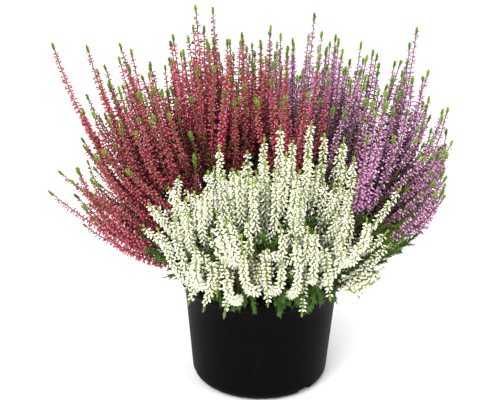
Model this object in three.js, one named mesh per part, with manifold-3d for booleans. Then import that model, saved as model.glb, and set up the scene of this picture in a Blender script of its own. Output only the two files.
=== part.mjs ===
// A potted heather: three bud-flowering plants, crimson, lilac and white, grown together in one
// thin black nursery pot. Millimetres, +Z up. The origin is the centre of the pot's flat underside,
// the pot's axis is Z, and the white plant leans out over the front, which is -Y.
import * as THREE from "three";
import { mergeVertices } from "three/addons/utils/BufferGeometryUtils.js";
import Module from "manifold-3d";

const wasm = await Module();
wasm.setup();

const DEG = Math.PI / 180;
const CLEARANCE = 0.3; // between pieces that stand in or against each other

// ---------------------------------------------------------------- driving dimensions

const pot = {
  height: 97,
  baseRadius: 57.4, // of the wall carried down to the floor, before its rounded corner
  rimRadius: 65.9, // of the wall's outside at the top
  lipReach: 3, // how far the rolled lip stands out
  lipHeight: 10,
  wall: 1.6,
  floor: 2.2,
  cornerRadius: 10,
  sides: 30,
};
const notch = { count: 3, firstAzimuth: -46, width: 15, height: 8, depth: 14 };
const compost = { level: 88, crown: 3, sides: 16 };
const hole = { radius: 2.6, depth: 12, sides: 4 };

const bush = {
  sprays: 42, // flowering stems that stand in the compost, each forked into shoots
  shootsPerSpray: 3,
  rootRadius: 40, // the flowering stems stand inside this circle
  cell: 0.085, // how far a spray's shoots part, as a share of the bush's radius
  spacing: 0.15, // what shoots are pushed apart to in the plan, likewise
  heart: 105, // the height of the place that the shoots fan out from
  stemRadius: 1.5,
  twigRadius: 1.05,
  droopRise: 150, // how high the drooping shoots climb before they hang over
  lowBelow: 230, // a leader that ends lower than this lies down the more, up to lowLean
  lowLean: 0.72,
};
const skirt = {
  sprays: 8, first: -158, rootRadius: 47, fan: 14, low: 98,
  reach: 76, // where the outline reaches 108, and so much more for each millimetre beyond that:
  grow: 0.15,
};
const forks = [0.14, 0.25]; // where a spray's second and third shoot leave its trunk, as its shares
const bend = { samples: 23, first: 0.07, passes: 60, clear: 1.0 };

// The bush's outermost tips: azimuth (0 is +X, -90 the front), reach from the axis and height.
const outline = [
  { azimuth: -180, reach: 152, height: 182 },
  { azimuth: -150, reach: 136, height: 172 },
  { azimuth: -120, reach: 116, height: 138 },
  { azimuth: -90, reach: 108, height: 128 },
  { azimuth: -55, reach: 118, height: 132 },
  { azimuth: -25, reach: 142, height: 190 },
  { azimuth: 10, reach: 156, height: 212 },
  { azimuth: 60, reach: 144, height: 210 },
  { azimuth: 100, reach: 136, height: 206 },
  { azimuth: 145, reach: 144, height: 196 },
  { azimuth: 180, reach: 152, height: 182 },
];

// The three plants. top is the height of the middle shoots, fall how late the heights fall towards
// the outline, from one shoot to the next, spike the length of the raceme of buds, reach how far its
// buds stand from the stem, tip the length of the bare tip, lean how far a shoot's end points
// outwards, 0 being upright, and outwards how far the outermost stems lean at the foot.
const plants = {
  crimson: {
    color: 0xb02a50, top: 286, fall: [2, 9], spike: 84, bands: 7, reach: 6.8, core: 3, tip: 11, lean: 0.36,
    outwards: 1.15,
  },
  lilac: {
    color: 0xb377b8, top: 284, fall: [2.5, 9], spike: 82, bands: 7, reach: 6.8, core: 3, tip: 12, lean: 0.2,
    outwards: 1.15,
  },
  white: {
    color: 0xf2f1e4, top: 240, fall: [2.2, 2.2], spike: 68, bands: 6, reach: 6.8, core: 3.2, tip: 8, lean: 0.16,
    outwards: 1.7,
  },
  leafy: {
    color: 0x4d7a2c, spike: 44, bands: 3, reach: 4.4, core: 1.9, tip: 5, lean: 0.85, outwards: 1.3,
  },
};

// Shoots that stand out of the bush, by the place of the tip.
const leaders = [
  { plant: "crimson", tip: [-170, 5, 291] },
  { plant: "crimson", tip: [-143, 8, 289] },
  { plant: "crimson", tip: [-119, 30, 285] },
  { plant: "crimson", tip: [-107, 2, 288] },
  { plant: "crimson", tip: [-78, 36, 286] },
  { plant: "crimson", tip: [-74, 12, 298] },
  { plant: "crimson", tip: [-56, 14, 322] },
  { plant: "crimson", tip: [-43, 36, 315] },
  { plant: "crimson", tip: [-30, 0, 298] },
  { plant: "crimson", tip: [-177, -10, 170] },
  { plant: "crimson", tip: [-172, 15, 178] },
  { plant: "crimson", tip: [-150, -27, 197] },
  { plant: "crimson", tip: [-143, 28, 204] },
  { plant: "crimson", tip: [-138, -8, 238] },
  { plant: "crimson", tip: [-128, 22, 256] },
  { plant: "crimson", tip: [-148, 32, 240] },
  { plant: "crimson", tip: [-140, -20, 184] },
  { plant: "crimson", tip: [-116, -14, 262] },
  { plant: "crimson", tip: [-152, 20, 206] },
  { plant: "crimson", tip: [-128, -30, 214] },
  { plant: "crimson", tip: [-134, 45, 262] },
  { plant: "crimson", tip: [-94, 20, 270] },
  { plant: "crimson", tip: [-100, -6, 256] },
  { plant: "crimson", tip: [-88, -14, 262] },
  { plant: "crimson", tip: [-156, -22, 184] },
  { plant: "lilac", tip: [80, -6, 266] },
  { plant: "lilac", tip: [104, 6, 268] },
  { plant: "lilac", tip: [92, -6, 262] },
  { plant: "lilac", tip: [13, 52, 290] },
  { plant: "lilac", tip: [40, 34, 312] },
  { plant: "lilac", tip: [58, 36, 294] },
  { plant: "lilac", tip: [88, 20, 286] },
  { plant: "lilac", tip: [121, 10, 308] },
  { plant: "lilac", tip: [134, 20, 270] },
  { plant: "lilac", tip: [149, 0, 245] },
  { plant: "lilac", tip: [153, -15, 222] },
  { plant: "lilac", tip: [148, -28, 196] },
  { plant: "lilac", tip: [152, 14, 208] },
  { plant: "lilac", tip: [136, -20, 226] },
  { plant: "lilac", tip: [134, 6, 252] },
  { plant: "lilac", tip: [150, 34, 232] },
  { plant: "lilac", tip: [141, -10, 176] },
  { plant: "lilac", tip: [118, -8, 272] },
  { plant: "lilac", tip: [146, 26, 188] },
  { plant: "white", tip: [6, -94, 108], droops: true },
  { plant: "white", tip: [55, -88, 111], droops: true },
  { plant: "white", tip: [-34, -90, 114], droops: true },
  { plant: "white", tip: [-90, -58, 180] },
  { plant: "white", tip: [-73, -68, 198] },
  { plant: "white", tip: [-82, -72, 165] },
  { plant: "white", tip: [38, -26, 240] },
  { plant: "white", tip: [64, -30, 228] },
  { plant: "white", tip: [110, -42, 190] },
  { plant: "white", tip: [98, -66, 132] },
  { plant: "white", tip: [-60, -78, 112], droops: true },
];

// ---------------------------------------------------------------- small helpers

// A seeded linear congruential generator: the same draws every time.
function seeded(seed) {
  let state = seed >>> 0;
  return () => {
    state = (Math.imul(state, 1664525) + 1013904223) >>> 0;
    return state / 4294967296;
  };
}

const mix = (a, b, t) => a + (b - a) * t;
const range = (count) => Array.from({ length: count }, (_, i) => i);

// Positions and triangles as a geometry.
function geometryFrom(positions, triangles) {
  const geometry = new THREE.BufferGeometry();
  geometry.setAttribute("position", new THREE.BufferAttribute(new Float32Array(positions), 3));
  geometry.setIndex([...triangles]);
  return geometry;
}

// A closed geometry as a manifold-3d solid.
function solidOf(geometry) {
  const bare = geometry.index ? geometry.toNonIndexed() : geometry.clone();
  bare.deleteAttribute("normal");
  bare.deleteAttribute("uv");
  const merged = mergeVertices(bare, 1e-4);
  return new wasm.Manifold(
    new wasm.Mesh({
      numProp: 3,
      vertProperties: merged.attributes.position.array,
      triVerts: new Uint32Array(merged.index.array),
    }),
  );
}

// A manifold-3d solid as a named mesh.
function meshOf(name, solid, color, roughness) {
  const { vertProperties, triVerts } = solid.getMesh();
  const material = new THREE.MeshStandardMaterial({ color, roughness, metalness: 0 });
  const mesh = new THREE.Mesh(geometryFrom(vertProperties, triVerts), material);
  mesh.name = name;
  return mesh;
}

// A profile of [radius, height] points turned about Z.
function turned(profile, sides) {
  const points = profile.map(([r, z]) => new THREE.Vector2(r, z));
  return new THREE.LatheGeometry(points, sides).rotateX(Math.PI / 2);
}

// ---------------------------------------------------------------- pot

// The wall's outside radius at a height.
const wallRadius = (z) => mix(pot.baseRadius, pot.rimRadius, z / pot.height);

// A quarter round from a floor up to the wall, as [radius, height] points.
function cornerArc(radius, floor, round, steps) {
  return range(steps + 1).map((i) => {
    const a = (i / steps) * 90 * DEG;
    return [radius - round + round * Math.sin(a), floor + round - round * Math.cos(a)];
  });
}

function makePot() {
  const lipFoot = pot.height - pot.lipHeight;
  const lipRadius = pot.rimRadius + pot.lipReach;
  const outside = [
    [0, 0],
    ...cornerArc(wallRadius(pot.cornerRadius), 0, pot.cornerRadius, 3),
    [wallRadius(lipFoot), lipFoot],
    [lipRadius - 0.5, lipFoot + 3],
    [lipRadius, pot.height],
    [lipRadius - 1.2, pot.height],
  ];
  const round = pot.cornerRadius - pot.wall;
  const inside = [
    [pot.rimRadius - pot.wall, pot.height - 2],
    ...cornerArc(wallRadius(pot.cornerRadius) - pot.wall, pot.floor, round, 2).reverse(),
    [0, pot.floor],
  ];
  let body = solidOf(turned([...outside, ...inside], pot.sides));
  for (const i of range(notch.count)) {
    const cutter = new THREE.BoxGeometry(notch.depth, notch.width, 2 * notch.height);
    cutter.translate(pot.baseRadius, 0, 0);
    cutter.rotateZ((notch.firstAzimuth + (i * 360) / notch.count) * DEG);
    body = body.subtract(solidOf(cutter));
  }
  return meshOf("pot", body, 0x17181a, 0.42);
}

// ---------------------------------------------------------------- plan of the bush

// The outline's row at an azimuth in degrees, eased between its neighbours.
function outlineAt(azimuth) {
  const next = Math.max(1, outline.findIndex((row) => row.azimuth >= azimuth));
  const [from, to] = [outline[next - 1], outline[next]];
  const t = (azimuth - from.azimuth) / (to.azimuth - from.azimuth);
  return { reach: mix(from.reach, to.reach, t), height: mix(from.height, to.height, t) };
}

// Which plant grows at a place of the plan, a disc of radius 1.
function plantAt(x, y) {
  const azimuth = Math.atan2(y, x) / DEG;
  if (y < -0.07 && azimuth > -146 && azimuth < -27) return "white";
  return x > 0.15 - 0.25 * y ? "lilac" : "crimson";
}

// The plan: sprays like a sunflower's seeds, each with its shoots round it.
function planOfShoots() {
  const golden = 137.508 * DEG;
  return range(bush.sprays).flatMap((spray) => {
    const rho = 0.92 * Math.pow((spray + 0.5) / bush.sprays, 0.48);
    const azimuth = spray * golden;
    const root = [rho * Math.cos(azimuth), rho * Math.sin(azimuth)];
    return range(bush.shootsPerSpray).map((i) => {
      const turn = azimuth + (i * 360 * DEG) / bush.shootsPerSpray;
      const plan = [root[0] + bush.cell * Math.cos(turn), root[1] + bush.cell * Math.sin(turn)];
      return { spray, root, plan, plant: plantAt(...root) };
    });
  });
}

// Pushes shoots apart in the plan until none crowds another.
function spaceOut(shoots) {
  for (let pass = 0; pass < 30; pass++)
    for (const { plan: p } of shoots)
      for (const { plan: q } of shoots) {
        const apart = Math.hypot(q[0] - p[0], q[1] - p[1]);
        if (p === q || apart > bush.spacing) continue;
        const push = (0.12 * (bush.spacing - apart)) / Math.max(apart, 1e-3);
        const [dx, dy] = [(q[0] - p[0]) * push, (q[1] - p[1]) * push];
        p[0] -= dx;
        p[1] -= dy;
        q[0] += dx;
        q[1] += dy;
      }
}

// Where a shoot ends: on a dome that is highest at the middle and widest at the outline.
function tipOf(shoot, random) {
  const rho = Math.min(1, Math.hypot(...shoot.plan));
  const azimuth = Math.atan2(shoot.plan[1], shoot.plan[0]);
  const edge = outlineAt(azimuth / DEG);
  const out = edge.reach * Math.pow(rho, 0.75) * mix(0.96, 1.03, random());
  const { top, fall } = plants[shoot.plant];
  const share = Math.pow(rho, mix(fall[0], fall[1], random()));
  const height = mix(Math.max(top, edge.height), edge.height, share) + mix(-22, 8, random());
  return new THREE.Vector3(out * Math.cos(azimuth), out * Math.sin(azimuth), height);
}

// Gives the leaders' tips to the shoots of the same plant that end nearest.
function placeLeaders(shoots) {
  for (const leader of leaders) {
    const tip = new THREE.Vector3(...leader.tip);
    const free = shoots.filter((s) => s.plant === leader.plant && !s.leads);
    const nearest = free.reduce((a, b) => (a.tip.distanceTo(tip) < b.tip.distanceTo(tip) ? a : b));
    Object.assign(nearest, { tip, leads: true, droops: leader.droops });
  }
}

// Leafy sprays without flowers that reach out under the racemes, all round the rim.
function skirtShoots() {
  return range(skirt.sprays).flatMap((i) => {
    const middle = skirt.first + (i * 360) / skirt.sprays;
    const foot = [middle * DEG, skirt.rootRadius / bush.rootRadius];
    const root = [foot[1] * Math.cos(foot[0]), foot[1] * Math.sin(foot[0])];
    return [0, -1, 1].map((side) => {
      const azimuth = middle + side * skirt.fan;
      const edge = outlineAt(azimuth);
      const out = skirt.reach + skirt.grow * (edge.reach - 108);
      const height = skirt.low + Math.max(-4, 0.5 * (edge.height - 150)) - 4 * Math.abs(side);
      const [x, y] = [out * Math.cos(azimuth * DEG), out * Math.sin(azimuth * DEG)];
      const tip = new THREE.Vector3(x, y, height);
      return { spray: bush.sprays + i, root, plan: [x / out, y / out], tip, plant: "leafy", draw: 0.5 };
    });
  });
}

function layOut() {
  const random = seeded(8355);
  const shoots = planOfShoots();
  spaceOut(shoots);
  for (const shoot of shoots) {
    shoot.tip = tipOf(shoot, random);
    shoot.draw = random();
  }
  placeLeaders(shoots);
  return [...shoots, ...skirtShoots()];
}

// ---------------------------------------------------------------- lines of the shoots

// The unit direction in which a shoot's tip points.
function tipDirection(shoot) {
  const outward = shoot.tip.clone().setZ(shoot.tip.z - bush.heart).normalize();
  if (shoot.droops) return outward.setZ(-2).normalize();
  const low = shoot.leads ? Math.min(1, Math.max(0, (bush.lowBelow - shoot.tip.z) / 60)) : 0;
  const lean = mix(plants[shoot.plant].lean, bush.lowLean, low);
  return outward.lerp(new THREE.Vector3(0, 0, 1), 1 - lean).normalize();
}

// A cubic curve from a start to the shoot's tip.
function curveTo(shoot, start, startDirection) {
  const length = shoot.droops ? bush.droopRise : shoot.tip.distanceTo(start);
  const first = start.clone().addScaledVector(startDirection, 0.34 * length);
  const second = shoot.tip.clone().addScaledVector(tipDirection(shoot), -0.48 * length);
  return new THREE.CubicBezierCurve3(start, first, second, shoot.tip.clone());
}

// A spray's trunk starts in the compost and leans outwards the more the further out it goes.
function trunkCurve(shoot) {
  const [x, y] = shoot.root;
  const foot = new THREE.Vector3(x * bush.rootRadius, y * bush.rootRadius, compost.level + 1);
  const away = shoot.tip.clone().sub(foot).setZ(0).normalize();
  const rho = Math.min(1, Math.hypot(...shoot.plan));
  return curveTo(shoot, foot, away.multiplyScalar(plants[shoot.plant].outwards * rho).setZ(0.85).normalize());
}

// A twig forks from the trunk at a share of its length.
function twigCurve(shoot, trunk, share) {
  const start = trunk.getPoint(share);
  const away = shoot.tip.clone().sub(start).normalize();
  return curveTo(shoot, start, trunk.getTangent(share).lerp(away, 0.5).normalize());
}

// Draws every shoot's curve. The first of a spray is its trunk, and the others fork from it.
function drawCurves(sprays) {
  for (const shoots of sprays) {
    shoots.sort((a, b) => (b.leads ? 1 : 0) - (a.leads ? 1 : 0));
    const trunk = trunkCurve(shoots[0]);
    shoots.forEach((shoot, i) => {
      shoot.fork = [0, ...forks][i];
      shoot.curve = i === 0 ? trunk : twigCurve(shoot, trunk, shoot.fork);
      const { spike, tip } = plants[shoot.plant];
      const length = shoot.curve.getLength();
      shoot.to = 1 - tip / length;
      shoot.from = Math.max(0.29, shoot.to - (spike * mix(0.9, 1.1, shoot.draw)) / length);
    });
  }
}

// The shares that a cubic curve's four control points have in its point at t.
const sharesAt = (t) => [(1 - t) ** 3, 3 * t * (1 - t) ** 2, 3 * t * t * (1 - t), t ** 3];

// Places along a curve, each with the radius that it needs round it.
function samplesOf(shoot) {
  return range(bend.samples).map((i) => {
    const t = mix(bend.first, 1, i / (bend.samples - 1));
    const { reach } = plants[shoot.plant];
    const inSpike = t > shoot.from - 0.03;
    const done = Math.max(0, t - shoot.from) / (1 - shoot.from);
    const radius = inSpike ? reach * mix(1, 0.62, done) : 1.6;
    return { t, inSpike, radius, at: shoot.curve.getPoint(t) };
  });
}

// The most crowded places of two shoots: how much too near they are, and which way they part.
function crowding(shootA, samplesA, shootB, samplesB) {
  const siblings = shootA.spray === shootB.spray;
  let worst = { lack: 0 };
  for (const a of samplesA)
    for (const b of samplesB) {
      if (siblings && !(a.inSpike || b.inSpike)) continue;
      const need = a.radius + b.radius + bend.clear;
      const [x, y, z] = [b.at.x - a.at.x, b.at.y - a.at.y, b.at.z - a.at.z];
      if (Math.abs(x) > need || Math.abs(y) > need || Math.abs(z) > need) continue;
      const apart = Math.hypot(x, y, z);
      if (need - apart > worst.lack) worst = { lack: need - apart, a, b };
    }
  return worst;
}

// Moves a curve so that its point at t goes by the way given.
function moveCurve(shoot, t, way) {
  const shares = sharesAt(t);
  if (shoot.leads) shares[3] = 0;
  const whole = Math.max(0.1, shares[1] ** 2 + shares[2] ** 2 + shares[3] ** 2);
  shoot.moves.push([0, 1, 2, 3].map((k) => (k ? way.clone().multiplyScalar(shares[k] / whole) : null)));
}

// Lifts a sample off the pot's lip.
function liftOffLip(shoot, { t, at, radius }) {
  const from = pot.rimRadius - 5;
  const across = Math.hypot(at.x, at.y);
  const lack = pot.height + radius + 1 - at.z;
  if (across > from && across < from + 16 && lack > 0 && lack < 14 && !shoot.droops)
    moveCurve(shoot, t, new THREE.Vector3(0, 0, 0.5 * lack));
}

// Bends the shoots clear of each other and of the pot's lip.
function bendClear(shoots) {
  for (const _ of range(bend.passes)) {
    const samples = shoots.map(samplesOf);
    for (const shoot of shoots) shoot.moves = [];
    shoots.forEach((a, i) => {
      for (const sample of samples[i]) liftOffLip(a, sample);
      for (let j = i + 1; j < shoots.length; j++) {
        const worst = crowding(a, samples[i], shoots[j], samples[j]);
        if (!worst.lack) continue;
        const way = worst.b.at.clone().sub(worst.a.at).normalize().multiplyScalar(0.3 * worst.lack);
        moveCurve(shoots[j], worst.b.t, way);
        moveCurve(a, worst.a.t, way.negate());
      }
    });
    for (const { curve, moves } of shoots)
      for (const move of moves) {
        curve.v1.add(move[1]);
        curve.v2.add(move[2]);
        curve.v3.add(move[3]);
      }
    for (const twig of shoots.filter((s) => s.fork))
      twig.curve.v0.copy(shoots.find((s) => s.spray === twig.spray).curve.getPoint(twig.fork));
  }
}

// ---------------------------------------------------------------- solids of the shoots

// The rings of a shoot from its start to its tip: where each stands, its radius, and how far the
// buds of the band below it reach out from the middle line, 0 for a smooth band.
function ringsOf({ plant, curve, from, to, fork }) {
  const { bands, reach, core } = plants[plant];
  const at = (t) => curve.getPoint(t);
  const rings = [];
  if (fork) rings.push({ at: at(0), radius: 0.9 });
  else {
    const foot = at(0).setZ(compost.level - hole.depth + CLEARANCE);
    rings.push({ at: foot, radius: bush.stemRadius });
    for (const t of [0, ...forks]) rings.push({ at: at(t), radius: bush.stemRadius });
  }
  for (const i of range(bands + 1)) {
    const t = i / bands;
    const radius = i ? mix(core, 0.4 * core, t * t) : bush.twigRadius;
    rings.push({ at: at(mix(from, to, t)), radius, reach: i ? reach * mix(1, 0.62, t * t) : 0 });
  }
  rings.push({ at: at(1), radius: 0 });
  return rings;
}

// Lays a three-sided ring round its place, turned half a step against the ring before.
function ringPoints(ring, along, across, turned) {
  const sideways = along.clone().cross(across);
  return range(3).map((k) => {
    const a = ((k + (turned ? 0.5 : 0)) / 3) * 360 * DEG;
    const out = across.clone().multiplyScalar(Math.cos(a)).addScaledVector(sideways, Math.sin(a));
    return ring.at.clone().addScaledVector(out, ring.radius);
  });
}

// The six triangles between two rings, as [corner, corner, corner].
function bandTriangles(below, above, turned) {
  return range(3).flatMap((k) => {
    const next = (k + 1) % 3;
    return turned
      ? [[below[k], below[next], above[k]], [below[next], above[next], above[k]]]
      : [[below[k], above[next], above[k]], [below[k], below[next], above[next]]];
  });
}

// Raises a triangle to a point that stands out from the middle line: a bud or a leaf.
function raised([a, b, c], middle, along, reach) {
  const centre = a.clone().add(b).add(c).divideScalar(3);
  const outward = centre.clone().sub(middle);
  outward.addScaledVector(along, -outward.dot(along)).normalize();
  const foot = centre.clone().sub(middle).dot(along);
  const point = middle.clone().addScaledVector(along, foot - 0.12 * reach);
  point.addScaledVector(outward, reach);
  return [[a, b, point], [b, c, point], [c, a, point]];
}

// A shoot as one closed solid.
function shootSolid(rings) {
  const triangles = [];
  let across = new THREE.Vector3(1, 0, 0);
  let below = null;
  rings.forEach((ring, i) => {
    const before = rings[Math.max(0, i - 1)].at;
    const along = rings[Math.min(rings.length - 1, i + 1)].at.clone().sub(before).normalize();
    across = across.clone().addScaledVector(along, -across.dot(along)).normalize();
    const turned = i % 2 === 1;
    if (!below) {
      below = ringPoints(ring, along, across, turned);
      triangles.push([below[0], below[2], below[1]]);
      return;
    }
    if (ring.radius === 0) {
      range(3).forEach((k) => triangles.push([below[k], below[(k + 1) % 3], ring.at]));
      return;
    }
    const above = ringPoints(ring, along, across, turned);
    const middle = before.clone().add(ring.at).multiplyScalar(0.5);
    bandTriangles(below, above, turned).forEach((triangle, n) => {
      const hangs = turned ? n % 2 === 1 : n % 2 === 0;
      triangles.push(...(ring.reach && hangs ? raised(triangle, middle, along, ring.reach) : [triangle]));
    });
    below = above;
  });
  const positions = triangles.flat().flatMap((v) => [v.x, v.y, v.z]);
  return solidOf(geometryFrom(positions, range(positions.length / 3)));
}

// ---------------------------------------------------------------- compost

function makeCompost(feet) {
  const side = (z) => wallRadius(z) - pot.wall - CLEARANCE;
  const bottom = pot.floor + CLEARANCE;
  const round = pot.cornerRadius - pot.wall;
  const profile = [
    [0, bottom],
    ...cornerArc(side(pot.cornerRadius), bottom, round, 2),
    [side(compost.level - compost.crown), compost.level - compost.crown],
    [0.6 * side(compost.level), compost.level],
    [0, compost.level],
  ];
  let body = solidOf(turned(profile, compost.sides));
  for (const [x, y] of feet) {
    const cutter = new THREE.CylinderGeometry(hole.radius, hole.radius, 2 * hole.depth, hole.sides);
    cutter.rotateX(Math.PI / 2).translate(x, y, compost.level);
    body = body.subtract(solidOf(cutter));
  }
  return meshOf("compost", body, 0x2b1d14, 1);
}

// ---------------------------------------------------------------- assembly

const pottedHeather = new THREE.Group();
pottedHeather.name = "potted_heather";
pottedHeather.add(makePot());

const shoots = layOut();
const sprays = range(bush.sprays + skirt.sprays).map((k) => shoots.filter((s) => s.spray === k));
drawCurves(sprays);
bendClear(sprays.flat());
const counts = {};
for (const own of sprays) {
  const { plant } = own[0];
  counts[plant] = (counts[plant] ?? 0) + 1;
  const solid = own.map((shoot) => shootSolid(ringsOf(shoot))).reduce((a, b) => a.add(b));
  const name = plant + "_spray_" + String(counts[plant]).padStart(2, "0");
  pottedHeather.add(meshOf(name, solid, plants[plant].color, 0.75));
}
pottedHeather.add(makeCompost(sprays.map((own) => own[0].root.map((v) => v * bush.rootRadius))));

export default pottedHeather;
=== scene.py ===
# %% [markdown]
# # A potted heather
# Three bud-flowering heathers, one crimson, one lilac and one white, have grown into a single loose
# bush in a thin black nursery pot. In this lesson the imported CAD model is the fixed frame: it says
# where every stem, the pot and the compost stand. Blender then gives each of them the fine shapes
# and finishes that CAD leaves out: buds, scale leaves, bark, moulded plastic and peat.
#
# The CAD model comes first, because the finished bush is kept inside its box.

# %% Open the imported model
from math import atan2, cos, hypot, pi, radians, sin

import bmesh
import bpy
import numpy as np
from mathutils import Matrix, Vector, noise


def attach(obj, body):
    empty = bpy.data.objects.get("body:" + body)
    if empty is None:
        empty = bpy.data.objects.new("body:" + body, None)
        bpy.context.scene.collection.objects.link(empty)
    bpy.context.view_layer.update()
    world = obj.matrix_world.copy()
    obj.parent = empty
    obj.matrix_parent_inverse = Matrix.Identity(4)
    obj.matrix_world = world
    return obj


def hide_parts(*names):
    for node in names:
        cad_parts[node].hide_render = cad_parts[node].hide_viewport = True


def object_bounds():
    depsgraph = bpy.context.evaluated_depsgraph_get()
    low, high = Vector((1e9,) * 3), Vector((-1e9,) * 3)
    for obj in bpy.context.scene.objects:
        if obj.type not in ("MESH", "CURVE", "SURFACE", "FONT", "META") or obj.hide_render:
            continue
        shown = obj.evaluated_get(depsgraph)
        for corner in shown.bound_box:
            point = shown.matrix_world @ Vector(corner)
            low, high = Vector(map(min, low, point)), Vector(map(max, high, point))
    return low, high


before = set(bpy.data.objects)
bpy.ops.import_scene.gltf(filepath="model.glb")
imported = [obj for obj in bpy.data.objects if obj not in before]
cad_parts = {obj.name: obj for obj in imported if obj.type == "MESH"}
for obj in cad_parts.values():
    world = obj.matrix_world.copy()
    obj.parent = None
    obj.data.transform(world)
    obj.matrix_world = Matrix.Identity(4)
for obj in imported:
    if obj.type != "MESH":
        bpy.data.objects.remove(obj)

MM = 0.001
cad_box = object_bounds()
print("CAD nodes:", len(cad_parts))
print("CAD box in mm:", [[round(v / MM) for v in corner] for corner in cad_box])

# %% [markdown]
# ## The camera
# The bush is looked at from the front and from a little above, as a plant on a table is. A long lens
# keeps the pot's sides nearly parallel. The camera is made before the pieces, so that every piece can
# be judged from it, and a small shift frames the pot without tilting the view.

# %% Place the camera
def add_object(name, data):
    """A new object in the scene, with a mesh, a lamp or a camera as its data."""
    added = bpy.data.objects.new(name, data)
    bpy.context.scene.collection.objects.link(added)
    return added


def place_camera(elevation, distance, aim_height, roll, lens, shift):
    a = radians(elevation)
    away = Vector((0, -cos(a), sin(a)))
    camera = add_object("camera", bpy.data.cameras.new("camera"))
    camera.location = Vector((0, 0, aim_height)) + away * distance
    turn = (-away).to_track_quat("-Z", "Y").to_matrix() @ Matrix.Rotation(radians(roll), 3, "Z")
    camera.rotation_euler = turn.to_euler()
    camera.data.lens = lens
    camera.data.shift_x, camera.data.shift_y = shift
    bpy.context.scene.camera = camera
    return camera


camera = place_camera(22.7, 1.1, 0.15, 1.0, 94.75, (-0.024, 0.0232))
print("camera at", [round(v, 3) for v in camera.location], "with a lens of", camera.data.lens, "mm")

# %% [markdown]
# ## The floor and the light
# A plain pale floor and soft light let the colours speak. One large lamp stands in front and to the
# left, a weaker one to the right, and a very large one overhead brightens the tips and leaves the
# heart of the bush dark, as a cloudy sky does. A thin strip at the back left draws the grey sheen
# down the side of the black pot.

# %% Lay the floor
def object_from(bm, name):
    """A new object with a bmesh's faces. The bmesh itself is freed."""
    mesh = bpy.data.meshes.new(name)
    bm.to_mesh(mesh)
    bm.free()
    return add_object(name, mesh)


def new_material(name):
    """A new material, and the sockets of its shader."""
    material = bpy.data.materials.new(name)
    material.use_nodes = True
    return material, material.node_tree.nodes["Principled BSDF"].inputs


def flat_floor(half):
    bm = bmesh.new()
    bmesh.ops.create_grid(bm, x_segments=1, y_segments=1, size=half)
    return object_from(bm, "floor")


floor = flat_floor(12)
floor.location.z = -0.0002
pale, skin = new_material("pale_floor")
skin["Base Color"].default_value = (0.92, 0.92, 0.92, 1)
skin["Roughness"].default_value = 0.9
skin["Specular IOR Level"].default_value = 0.1
floor.data.materials.append(pale)
print("floor:", floor.dimensions.x, "m wide")


# %% Hang the lamps
def soft_lamp(name, place, aim, size, power):
    lamp = add_object(name, bpy.data.lights.new(name, "AREA"))
    lamp.data.shape = "RECTANGLE"
    lamp.data.size, lamp.data.size_y = size
    lamp.data.energy = power
    lamp.location = place
    lamp.rotation_euler = (Vector(aim) - Vector(place)).to_track_quat("-Z", "Y").to_euler()
    return lamp


soft_lamp("key", (-0.5, -1.5, 1.2), (0, 0, 0.18), (1.0, 1.0), 38)
soft_lamp("fill", (1.3, -1.0, 0.9), (0, 0, 0.18), (0.8, 0.8), 11)
soft_lamp("ceiling", (0.0, 0.5, 2.6), (0, 0.5, 0), (4.5, 4.5), 135)
soft_lamp("strip", (-1.2, 0.35, 0.35), (0, 0, 0.08), (0.2, 0.8), 1.5)
world = bpy.data.worlds.new("soft_white")
world.use_nodes = True
sky = world.node_tree.nodes["Background"].inputs
sky["Color"].default_value = (1, 1, 1, 1)
sky["Strength"].default_value = 0.26
bpy.context.scene.world = world
bpy.context.scene.view_settings.view_transform = "Standard"

# %% [markdown]
# ## The plan of the bush
# The fine racemes have to grow exactly where the CAD's shoots stand, so the same plan is worked out
# here from the same named sizes: 42 flowering sprays set like a sunflower's seeds, three shoots to a
# spray, and eight leafy sprays round the rim. Each shoot ends on a dome that is high in the middle
# and wide at the outline. All of these are millimetres, with the pot's foot at zero.

# %% Name the sizes of the bush
POT = dict(height=97, base_radius=57.4, rim_radius=65.9, lip_reach=3, lip_height=10, wall=1.6, floor=2.2,
           corner=10)
NOTCH = dict(count=3, first=-46, width=15, height=8, depth=14)
COMPOST = dict(level=88, crown=3, hole=12)
BUSH = dict(sprays=42, shoots=3, root_radius=40, cell=0.085, spacing=0.15, heart=105, droop_rise=150)
SKIRT = dict(sprays=8, first=-158, root_radius=47, reach=76, grow=0.15, fan=14, low=98)
FORKS = (0, 0.14, 0.25)
OUTLINE = [  # azimuth, reach and height of the outermost tips
    (-180, 152, 182), (-150, 136, 172), (-120, 116, 138), (-90, 108, 128), (-55, 118, 132),
    (-25, 142, 190), (10, 156, 212), (60, 144, 210), (100, 136, 206), (145, 144, 196), (180, 152, 182),
]
PLANTS = {
    "crimson": dict(top=286, fall=(2, 9), spike=84, reach=6.8, tip=11, lean=0.36, outwards=1.15),
    "lilac": dict(top=284, fall=(2.5, 9), spike=82, reach=6.8, tip=12, lean=0.2, outwards=1.15),
    "white": dict(top=240, fall=(2.2, 2.2), spike=68, reach=6.8, tip=8, lean=0.16, outwards=1.7),
    "leafy": dict(top=0, spike=44, reach=4.4, tip=5, lean=0.85, outwards=1.3),
}
print("plants:", list(PLANTS), "and an outline of", len(OUTLINE), "places")

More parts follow.
